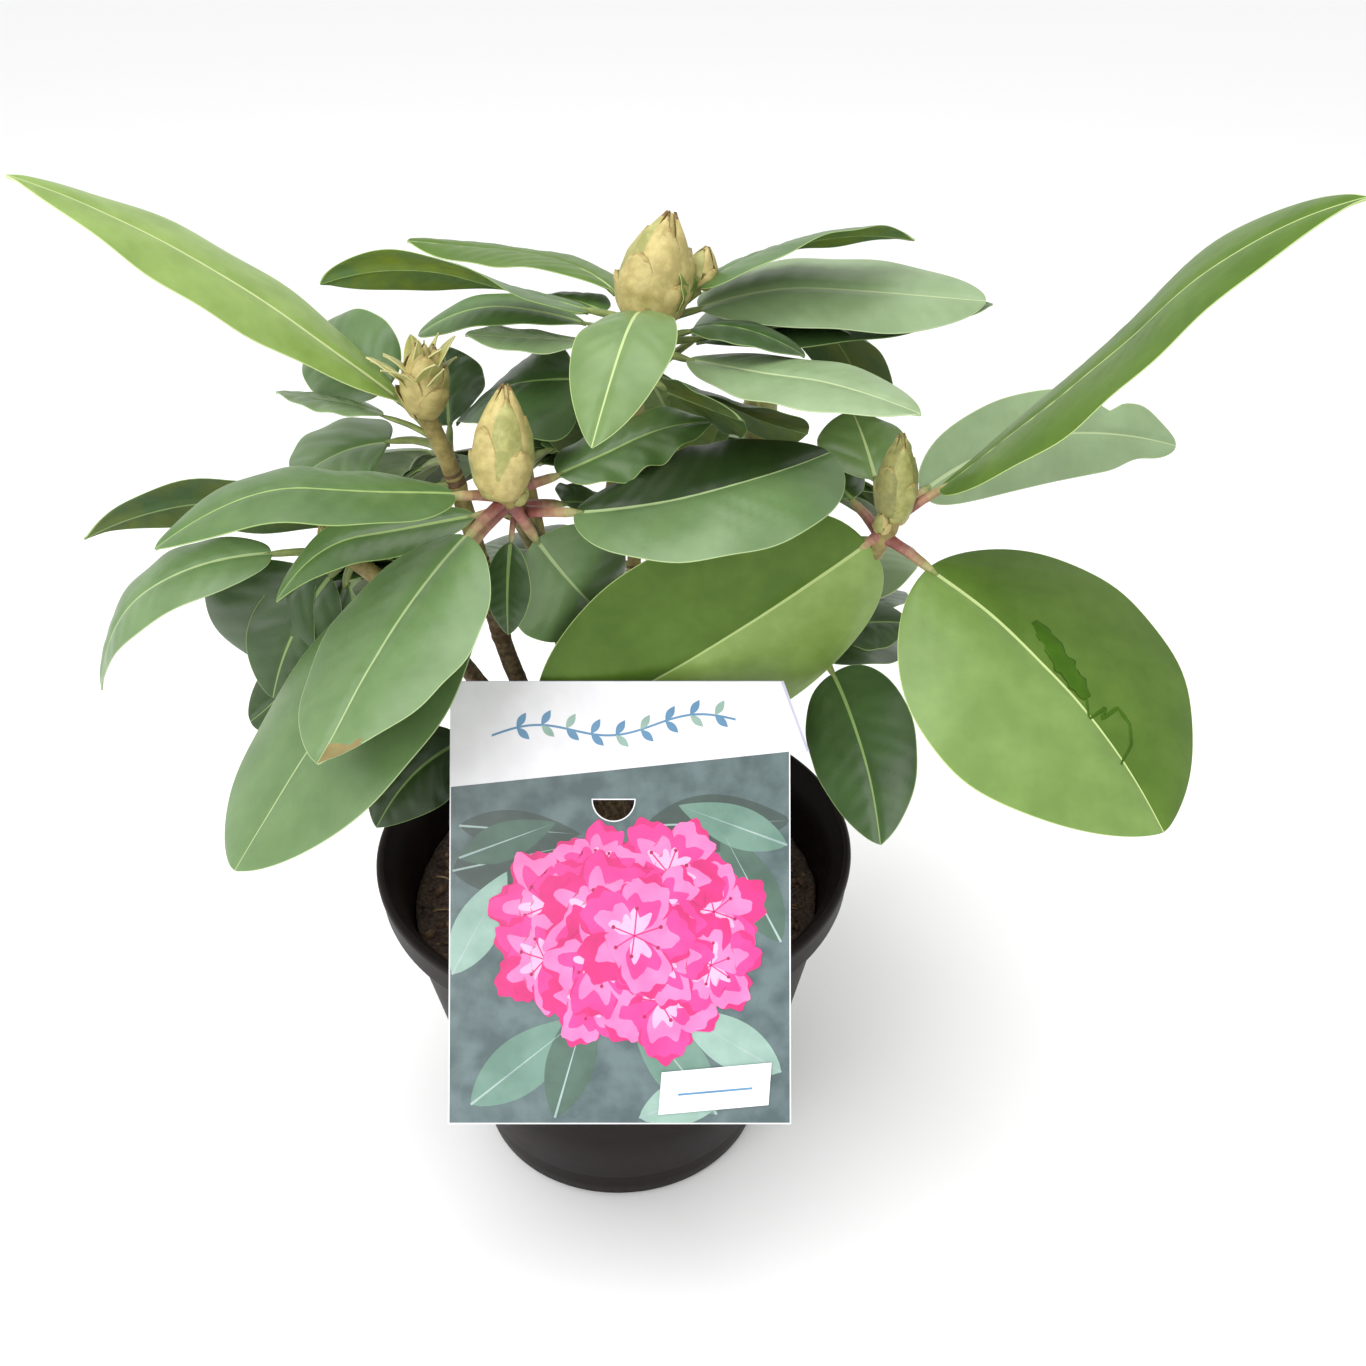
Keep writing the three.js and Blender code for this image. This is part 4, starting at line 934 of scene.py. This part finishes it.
# moulded polypropylene: a soft satin sheen with a fine eggshell grain and scuffs that catch the light
potMaterial, tree, shader, place, dust = mottledMaterial(
    "moulded_black_polypropylene", "#201715", "#110b0a", pot["dust"],
    {"Roughness": 0.6, "Specular IOR Level": 0.13})
roughness = addNode(tree, "ShaderNodeMapRange", {"To Min": 0.4, "To Max": 0.6}, {"Value": dust})
tree.links.new(roughness.outputs["Result"], shader.inputs["Roughness"])
grainScale = 1 / (pot["grainSize"] * mm)
grain = addNode(tree, "ShaderNodeTexNoise", {"Scale": grainScale, "Detail": 2.0}, {"Vector": place})
addBump(tree, shader, grain.outputs["Fac"], 0.25, 0.1)

bag = newBag()
addTube(bag, lathe(potProfile(), pot["sides"]))
potPiece = buildPiece("moulded_pot", bag, [potMaterial], ["pot"])

# drain holes are cut through the foot
bag = newBag()
for k in range(pot["holes"]):
    a = 2 * np.pi * (k + 0.5) / pot["holes"]
    ring = lathe([(pot["holeRadius"], pot["cutFrom"]), (pot["holeRadius"], pot["cutTo"])], pot["holeSides"])
    addTube(bag, ring + np.array([math.cos(a), math.sin(a), 0]) * pot["holeRing"])
cutterMesh = bpy.data.meshes.new("cutter")
cutterMesh.from_pydata([tuple(p) for p in np.concatenate(bag["points"]) * mm], [],
                       [tuple(f) for part in ("quads", "tris") for f in np.concatenate(bag[part])])
cutter = bpy.data.objects.new("cutter", cutterMesh)
bpy.context.scene.collection.objects.link(cutter)
cut = potPiece.modifiers.new("drain_holes", "BOOLEAN")
cut.operation, cut.object, cut.solver = "DIFFERENCE", cutter, "EXACT"
bpy.context.view_layer.update()
cutMesh = bpy.data.meshes.new_from_object(potPiece.evaluated_get(bpy.context.evaluated_depsgraph_get()))
potPiece.modifiers.clear()
potPiece.data = cutMesh
bpy.data.objects.remove(cutter)
print("pot")


# growing medium: fine peat with bark chips and a few straw fibres

soilRadius = wallAt(trunk["soilTop"]) - pot["wall"] - 0.35
soil = {"dish": 2, "foot": 3.6, "rings": 52, "sides": 200, "seed": 77, "chips": 1100, "chipSize": (0.8, 3.4),
        "chipsFrom": trunk["footRadius"] + 2, "chipsTo": soilRadius - 3, "fibres": 160, "fibreAbove": 0.8,
        "fibresFrom": trunk["footRadius"] + 6, "fibresTo": soilRadius - 8, "fibreHalf": (2.5, 7),
        "fibreRadius": (0.22, 0.42), "fibreBend": (0.6, 1.6)}
soilMaterials = [plainMaterial("damp_peat", "#5e4c44", "#3c2f2a", 0.95, 1.2),
                 plainMaterial("bark_chip", "#7a5f4c", "#513c2e", 0.9, 2.0),
                 plainMaterial("dry_chip", "#97795c", "#70563e", 0.9, 2.0),
                 plainMaterial("straw_fibre", "#b59a72", "#957d58", 0.85, 2.0)]
peat, darkChip, dryChip, strawFibre = range(4)
# the corners and faces of a chip before it is stretched and turned
chipPoints = np.array([(1, 0, 0), (0.3, 0.9, 0), (-0.8, 0.6, 0), (-0.9, -0.5, 0), (0.2, -1, 0), (0.1, 0.1, 1),
                       (-0.1, 0, -0.8)])
chipFaces = np.array([(k, (k + 1) % 5, 5) for k in range(5)] + [((k + 1) % 5, k, 6) for k in range(5)])


def soilHeight(x, y):
    spot = np.stack([x, y, np.zeros_like(x)], -1)
    lumps = 1.5 * softNoise(spot, 13, 5) + 1.0 * softNoise(spot, 5, 6) + 0.6 * softNoise(spot, 2.2, 7)
    return trunk["soilTop"] + soil["dish"] * (np.hypot(x, y) / soilRadius) ** 3 + lumps - 0.3


def soilSpot(draw, start, stop):
    # a place on the filling, or none where the trunk stands
    away, turn = stop * math.sqrt(draw()), 2 * math.pi * draw()
    x, y = away * math.cos(turn), away * math.sin(turn)
    if math.hypot(x, y) < start:
        return None
    return np.array([x, y, soilHeight(np.array([x]), np.array([y]))[0]])


bag = newBag()
r = np.linspace(0.5, soilRadius, soil["rings"])[::-1]
angle = bearings(soil["sides"])
x, y = r[:, None] * np.cos(angle), r[:, None] * np.sin(angle)
surface = np.stack([x, y, soilHeight(x, y)], -1)
skirt = lathe([(54, soil["foot"]), (wallAt(soil["foot"]) - pot["wall"] - 0.4, soil["foot"]),
               (soilRadius - 0.2, trunk["soilTop"] - 3)], soil["sides"])
addTube(bag, np.concatenate([skirt, surface]), peat)
draw = seeded(soil["seed"])
for k in range(soil["chips"]):
    spot = soilSpot(draw, soil["chipsFrom"], soil["chipsTo"])
    if spot is None:
        continue
    size = soil["chipSize"][0] + (soil["chipSize"][1] - soil["chipSize"][0]) * draw() ** 2
    lean = Matrix.Rotation(2 * math.pi * draw(), 3, "Z") @ Matrix.Rotation(0.9 * (draw() - 0.5), 3, "X")
    shape = chipPoints * np.array([size * (0.7 + draw()), size * 0.8, size * (0.3 + 0.4 * draw())])
    start = addPoints(bag, shape @ np.array(lean).T + spot + up * (0.15 * size))
    addTris(bag, chipFaces + start, (peat, darkChip, darkChip, darkChip, dryChip)[int(draw() * 5)])
for k in range(soil["fibres"]):
    middle = soilSpot(draw, soil["fibresFrom"], soil["fibresTo"])
    if middle is None:
        continue
    middle = middle + up * soil["fibreAbove"]
    way = direction(360 * draw(), 16 * (draw() - 0.4))
    half = way * between(draw, soil["fibreHalf"])
    curve = [middle - half, middle + up * between(draw, soil["fibreBend"]), middle + half]
    t = np.linspace(0, 1, 6)
    along = tangentOf(curve, t)
    side = unit(np.cross(along, up))
    radius = np.full(6, between(draw, soil["fibreRadius"]))
    addTube(bag, ringAround(bezier(curve, t), side, np.cross(along, side), radius, 5), strawFibre)
buildPiece("peat_and_bark_chips", bag, soilMaterials, ["growing_medium"])
print("growing medium")


# picture card: a laminated board with a printed bloom, hung over the front of the rim

card = {"width": 106, "height": 137, "thickness": 0.8, "belowRim": 36, "lean": 34, "centreX": 5, "gap": 0.3,
        "headRight": 22, "headLeft": 33, "headJut": 6, "headSlope": 2, "slotX": -2, "slotY": 64,
        "slotRadius": 6.5, "slotClear": 0.35, "slotSteps": 16, "edge": 0.4, "ink": 0.02}
cardTop = card["height"] - card["belowRim"]
cardLean = math.radians(card["lean"])
cardAcross = np.array([1.0, 0, 0])
cardUp = np.array([0, math.sin(cardLean), math.cos(cardLean)])
cardOut = np.cross(cardAcross, cardUp)
cardFoot = np.array([card["centreX"], 1 - pot["rim"] - card["gap"] / math.cos(cardLean), pot["height"]])


def onCard(flat, above):
    # flat is x across and y up from the line on the rim; above is the height over the front face
    flat = np.asarray(flat, float)
    onFront = cardFoot + cardOut * (card["thickness"] + above)
    return onFront + cardAcross * flat[..., :1] + cardUp * flat[..., 1:2]


def addPrint(bag, outline, layer, slot):
    # one flat shape of ink, star shaped about its middle, as a thin closed plate
    outline = np.asarray(outline, float)
    outline = np.vstack([outline, outline.mean(0)])
    top = addPoints(bag, onCard(outline, card["ink"] * layer))
    base = addPoints(bag, onCard(outline, card["ink"] * (layer - 0.9)))
    count = len(outline) - 1
    ring = np.arange(count)
    turn, hub = np.roll(ring, -1), np.full(count, count)
    addTris(bag, np.stack([top + ring, top + turn, top + hub], -1), slot)
    addTris(bag, np.stack([base + turn, base + ring, base + hub], -1), slot)
    addQuads(bag, np.stack([base + ring, base + turn, top + turn, top + ring], -1), slot)


# offset ink under a gloss laminate: strong even colour, clear reflections
inkLook = {"mottle": {"size": 9, "detail": 3.0, "rough": 0.5, "ramp": (0.35, 0.65)},
           "finish": {"Roughness": 0.3, "IOR": 1.5, "Coat Weight": 0.5, "Coat Roughness": 0.12}}
inkColours = {"white": ("#f3f1f6", "#eceaf0"), "ground": ("#627476", "#46585a"),
              "groundLight": ("#a9bcb9", "#8fa5a2"), "leafDark": ("#4e6a5c", "#415b4f"),
              "leafMid": ("#6f9183", "#5f8274"), "leafLight": ("#97b5aa", "#86a69a"),
              "pinkShade": ("#b3125c", "#960e4c"), "pinkDeep": ("#dc2580", "#c61a6c"),
              "pink": ("#ee3f97", "#e23088"), "pinkLight": ("#f77fba", "#f26dae"),
              "blush": ("#fbb4d6", "#f8a3cc"), "blue": ("#5f8fb4", "#5486ad"),
              "night": ("#43544f", "#35443f"), "lilac": ("#c9c6dc", "#bdb9d2")}
inks = [mottledMaterial(f"offset_ink_{name}", *shades, inkLook["mottle"], inkLook["finish"])[0]
        for name, shades in inkColours.items()]
ink = {name: k for k, name in enumerate(inkColours)}

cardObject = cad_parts["label_card"]
cardObject.data.materials.clear()
cardObject.data.materials.append(inks[ink["white"]])

bag = newBag()
left, right = -card["width"] / 2, card["width"] / 2
bodyTopLeft, bodyTopRight = cardTop - card["headLeft"], cardTop - card["headRight"]
fieldLeft, fieldRight, fieldLow = left + card["edge"], right - card["edge"], card["edge"] - card["belowRim"]


def groundEdge(x):
    return bodyTopLeft + (bodyTopRight - bodyTopLeft) * (x - left) / (right - left)


def groundField(x0, x1, y0, yLeft, yRight):
    # a four sided field whose upper edge slants
    addPrint(bag, [(x0, y0), (x1, y0), (x1, yRight), (x0, yLeft)], 1, ink["ground"])


# the ground is printed in four fields round the punched slot, and in wedges that follow its arc
slotReach = card["slotRadius"] + card["slotClear"]
slotLow, slotHigh = card["slotY"] - slotReach, card["slotY"] + card["slotClear"]
slotLeft, slotRight = card["slotX"] - slotReach, card["slotX"] + slotReach
groundField(fieldLeft, slotLeft, fieldLow, groundEdge(left), groundEdge(slotLeft))
groundField(slotRight, fieldRight, fieldLow, groundEdge(slotRight), groundEdge(right))
groundField(slotLeft, slotRight, fieldLow, slotLow, slotLow)
groundField(slotLeft, slotRight, slotHigh, groundEdge(slotLeft), groundEdge(slotRight))
for k in range(card["slotSteps"]):
    angles = [math.pi * (1 + (k + step) / card["slotSteps"]) for step in (0, 1)]
    arc = [np.array([math.cos(b), math.sin(b)]) * slotReach for b in angles]
    rim = [a * slotReach / np.abs(a).max() for a in arc]
    wedge = [arc[0], rim[0], rim[1], arc[1]]
    addPrint(bag, [w + (card["slotX"], card["slotY"]) for w in wedge], 1, ink["ground"])


def inField(outline):
    # keeps ink inside the card's picture field
    outline = np.asarray(outline, float)
    x = np.clip(outline[:, 0], fieldLeft, fieldRight)
    y = np.minimum(np.maximum(outline[:, 1], fieldLow), groundEdge(x) - 0.3)
    return np.stack([x, y], -1)


def placed(flat, spot, turn):
    # a flat shape turned about its origin and moved to its spot
    a = math.radians(turn)
    return flat @ np.array([[math.cos(a), math.sin(a)], [-math.sin(a), math.cos(a)]]) + spot


def mirrored(x, half):
    # the closed outline of a leaf from its half widths
    return np.concatenate([np.stack([x, half], -1), np.stack([x[::-1], -half[::-1]], -1)[1:-1]])


def printLeaf(spot, long, wide, turn, slot, layer, ribSlot):
    q = np.linspace(0, 1, 22)
    outline = mirrored(q * long, wide / 2 * np.sin(np.pi * q ** 0.85) ** 0.9)
    addPrint(bag, inField(placed(outline, spot, turn)), layer, slot)
    ribHalf = 0.35 * (1 - q)
    rib = np.stack([np.concatenate([q, q[::-1]]) * long * 0.96,
                    np.concatenate([ribHalf, -ribHalf[::-1]])], -1)
    addPrint(bag, inField(placed(rib, spot, turn)), layer + 0.5, ribSlot)


def heading(angle):
    return np.array([math.cos(angle), math.sin(angle)])


petalLook = {"count": 5, "half": 43, "points": 25, "droop": 0.42,
             "shades": ("pink", "pinkLight", "pink", "pinkDeep", "pinkLight")}
stamenLook = {"count": 6, "first": 18, "vary": 20, "reach": (0.34, 0.46), "half": 0.012, "tip": 0.035}


def printBlossom(spot, size, turn, layer, seed):
    # five frilled petals round a pale throat with a few stamens
    draw = seeded(seed)
    for k in range(petalLook["count"]):
        petal = []
        for u in np.linspace(-1, 1, petalLook["points"]):
            frill = 1 + 0.05 * math.sin(7 * u + 2 * k) + 0.035 * math.sin(16 * u + seed)
            reach = size * (1 - petalLook["droop"] * abs(u) ** 2.4) * frill
            petal.append(reach * heading(math.radians(turn + 72 * k + petalLook["half"] * u)))
        petal.append(np.zeros(2))
        shade = petalLook["shades"][(k + seed) % 5]
        # a petal's rim is deep, its body clear and its middle pale, each field ragged in its own way
        fields = [(1.0, "pinkDeep"), (0.94, shade), (0.66, "pink" if shade == "pinkLight" else "pinkLight")]
        if (k + seed) % 3:
            fields.append((0.4, "blush"))
        for step, (spread, tone) in enumerate(fields):
            inner = [spot + p * spread * (1 + 0.09 * step * math.sin(0.55 * n + seed + 2 * k))
                     for n, p in enumerate(petal)]
            addPrint(bag, inField(inner), layer + 0.24 * k + 0.05 * step, ink[tone])
    for k in range(stamenLook["count"]):
        bearing = math.radians(turn + stamenLook["first"] + 60 * k + stamenLook["vary"] * draw())
        tip = spot + size * between(draw, stamenLook["reach"]) * heading(bearing)
        across = np.array([-math.sin(bearing), math.cos(bearing)]) * size * stamenLook["half"]
        thread = [spot - across, tip - across, tip + across, spot + across]
        addPrint(bag, thread, layer + 1.25, ink["pinkDeep"])
        dot = [tip + size * stamenLook["tip"] * heading(b) for b in bearings(8)]
        addPrint(bag, dot, layer + 1.3, ink["pinkShade"])


# x, y, long, wide and turn of each printed leaf, from the back to the front
printLeaves = [(-52, 42, 40, 22, 12, "night"), (8, 56, 46, 18, 2, "night"), (-50, 56, 38, 12, -4, "night"),
               (-46, -30, 44, 17, 38, "leafMid"), (-20, -34, 40, 15, 74, "leafDark"),
               (30, -33, 44, 17, 128, "leafMid"), (50, -20, 38, 15, 150, "leafLight"),
               (-52, 10, 36, 14, 62, "leafLight"), (50, 20, 40, 15, 118, "leafDark"),
               (6, -34, 34, 14, 20, "leafLight"), (52, 50, 36, 13, 160, "leafMid"),
               (-50, 46, 32, 12, 20, "leafDark")]
for k, (x, y, long, wide, turn, tone) in enumerate(printLeaves):
    printLeaf((x, y), long, wide, turn, ink[tone], 2 + 0.2 * k, ink["groundLight"])
# the truss: a dark heart, an outer ring of blossoms and an inner one over it
truss = {"middle": np.array([3, 22]), "spread": np.array([31, 24]), "heart": np.array([36, 29]), "size": 17.5,
         "rings": ((8, 0.9, 20, 0.95), (4, 0.42, 50, 1.0), (1, 0.05, 0, 1.0)), "layer": 5, "layerStep": 1.4,
         "firstSeed": 3}
heart = [truss["middle"] + truss["heart"] * heading(b) for b in bearings(40)]
addPrint(bag, inField(heart), 4.5, ink["pinkShade"])
layer, seed = truss["layer"], truss["firstSeed"]
for count, out, start, size in truss["rings"]:
    for k in range(count):
        spot = truss["middle"] + truss["spread"] * out * heading(math.radians(start + 360 * k / count))
        vary = 1 + 0.12 * math.sin(3 * k + seed)
        printBlossom(spot, truss["size"] * size * vary, 31 * k + start, layer, seed)
        layer, seed = layer + truss["layerStep"], seed + 1
# blank panel low on the right, with a ruled line in place of words
panelLayer = 30
addPrint(bag, [(12, -33), (46, -30), (47, -17), (13, -20)], panelLayer, ink["white"])
addPrint(bag, [(18, -27.2), (41, -25.2), (41.1, -24.5), (18.1, -26.5)], panelLayer + 1, ink["blue"])
# head strip: a lilac edge, and a slim wave with leaf sprigs in soft blue
head = {"middle": 16, "waveStart": -40, "waveLong": 76, "waveBelow": 17, "waveRise": 5, "waveDepth": 2.4,
        "waves": 1.5, "lineHalf": 0.35, "sprigs": 9, "sprigLong": 5.5, "sprigHalf": 0.22, "sprigTurn": 8,
        "sprigSpread": 50}
headRim = np.array([(left, cardTop), (right - card["headSlope"], cardTop),
                    (right + card["headJut"], bodyTopRight), (right, bodyTopRight)])
headMiddle = np.array([0, cardTop - head["middle"]])
for a, b in zip(headRim[:-1], headRim[1:]):
    pull = 0.6 if b[0] > a[0] + 20 else 0.9
    addPrint(bag, [a, b, b + unit(headMiddle - b) * pull, a + unit(headMiddle - a) * pull], 1, ink["lilac"])
q = np.linspace(0, 1, 60)
ripple = head["waveDepth"] * np.sin(2 * np.pi * head["waves"] * q)
wave = np.stack([head["waveStart"] + head["waveLong"] * q,
                 cardTop - head["waveBelow"] + head["waveRise"] * q + ripple], -1)
half = np.array([0, head["lineHalf"]])
for a, b in zip(wave[:-1], wave[1:]):
    addPrint(bag, [a - half, b - half, b + half, a + half], 1, ink["blue"])
q = np.linspace(0, 1, 9)
sprig = mirrored(q, head["sprigHalf"] * np.sin(np.pi * q)) * head["sprigLong"]
for k in range(head["sprigs"]):
    for hand in (-1, 1):
        leaflet = placed(sprig, wave[6 + 6 * k], head["sprigTurn"] + hand * head["sprigSpread"])
        addPrint(bag, leaflet, 2, ink["blue" if (k + hand) % 3 else "leafLight"])
buildPiece("card_print", bag, inks, smooth=False)
print("picture card")


# floor and light: a pale studio sweep under soft overhead light

stage = {"floorSide": 40.0, "floor": "#f6f6f6", "sky": "#ffffff", "skyStrength": 1.0}
floorMesh = bpy.data.meshes.new("studio_floor")
reach = stage["floorSide"] / 2
floorMesh.from_pydata([(-reach, -reach, 0), (reach, -reach, 0), (reach, reach, 0), (-reach, reach, 0)], [],
                      [(0, 1, 2, 3)])
floorLook = {"Base Color": linear(stage["floor"]), "Roughness": 0.9}
floorMesh.materials.append(newMaterial("matt_white_floor", floorLook)[0])
floor = bpy.data.objects.new("studio_floor", floorMesh)
bpy.context.scene.collection.objects.link(floor)

world = bpy.data.worlds.new("studio")
world.use_nodes = True
world.node_tree.nodes["Background"].inputs["Color"].default_value = linear(stage["sky"])
world.node_tree.nodes["Background"].inputs["Strength"].default_value = stage["skyStrength"]
bpy.context.scene.world = world
for name, place, aim, side, watts in (
        ("overhead_softbox", (-250, -150, 1500), (0, 0, 250), 1100, 12),
        ("left_front_softbox", (-700, -1100, 900), (0, 0, 200), 900, 9)):
    lamp = bpy.data.lights.new(name, "AREA")
    lamp.size, lamp.energy = side * mm, watts
    light = bpy.data.objects.new(name, lamp)
    light.location = Vector(place) * mm
    light.rotation_euler = (Vector(aim) - Vector(place)).to_track_quat("-Z", "Y").to_euler()
    bpy.context.scene.collection.objects.link(light)
print("floor and light")
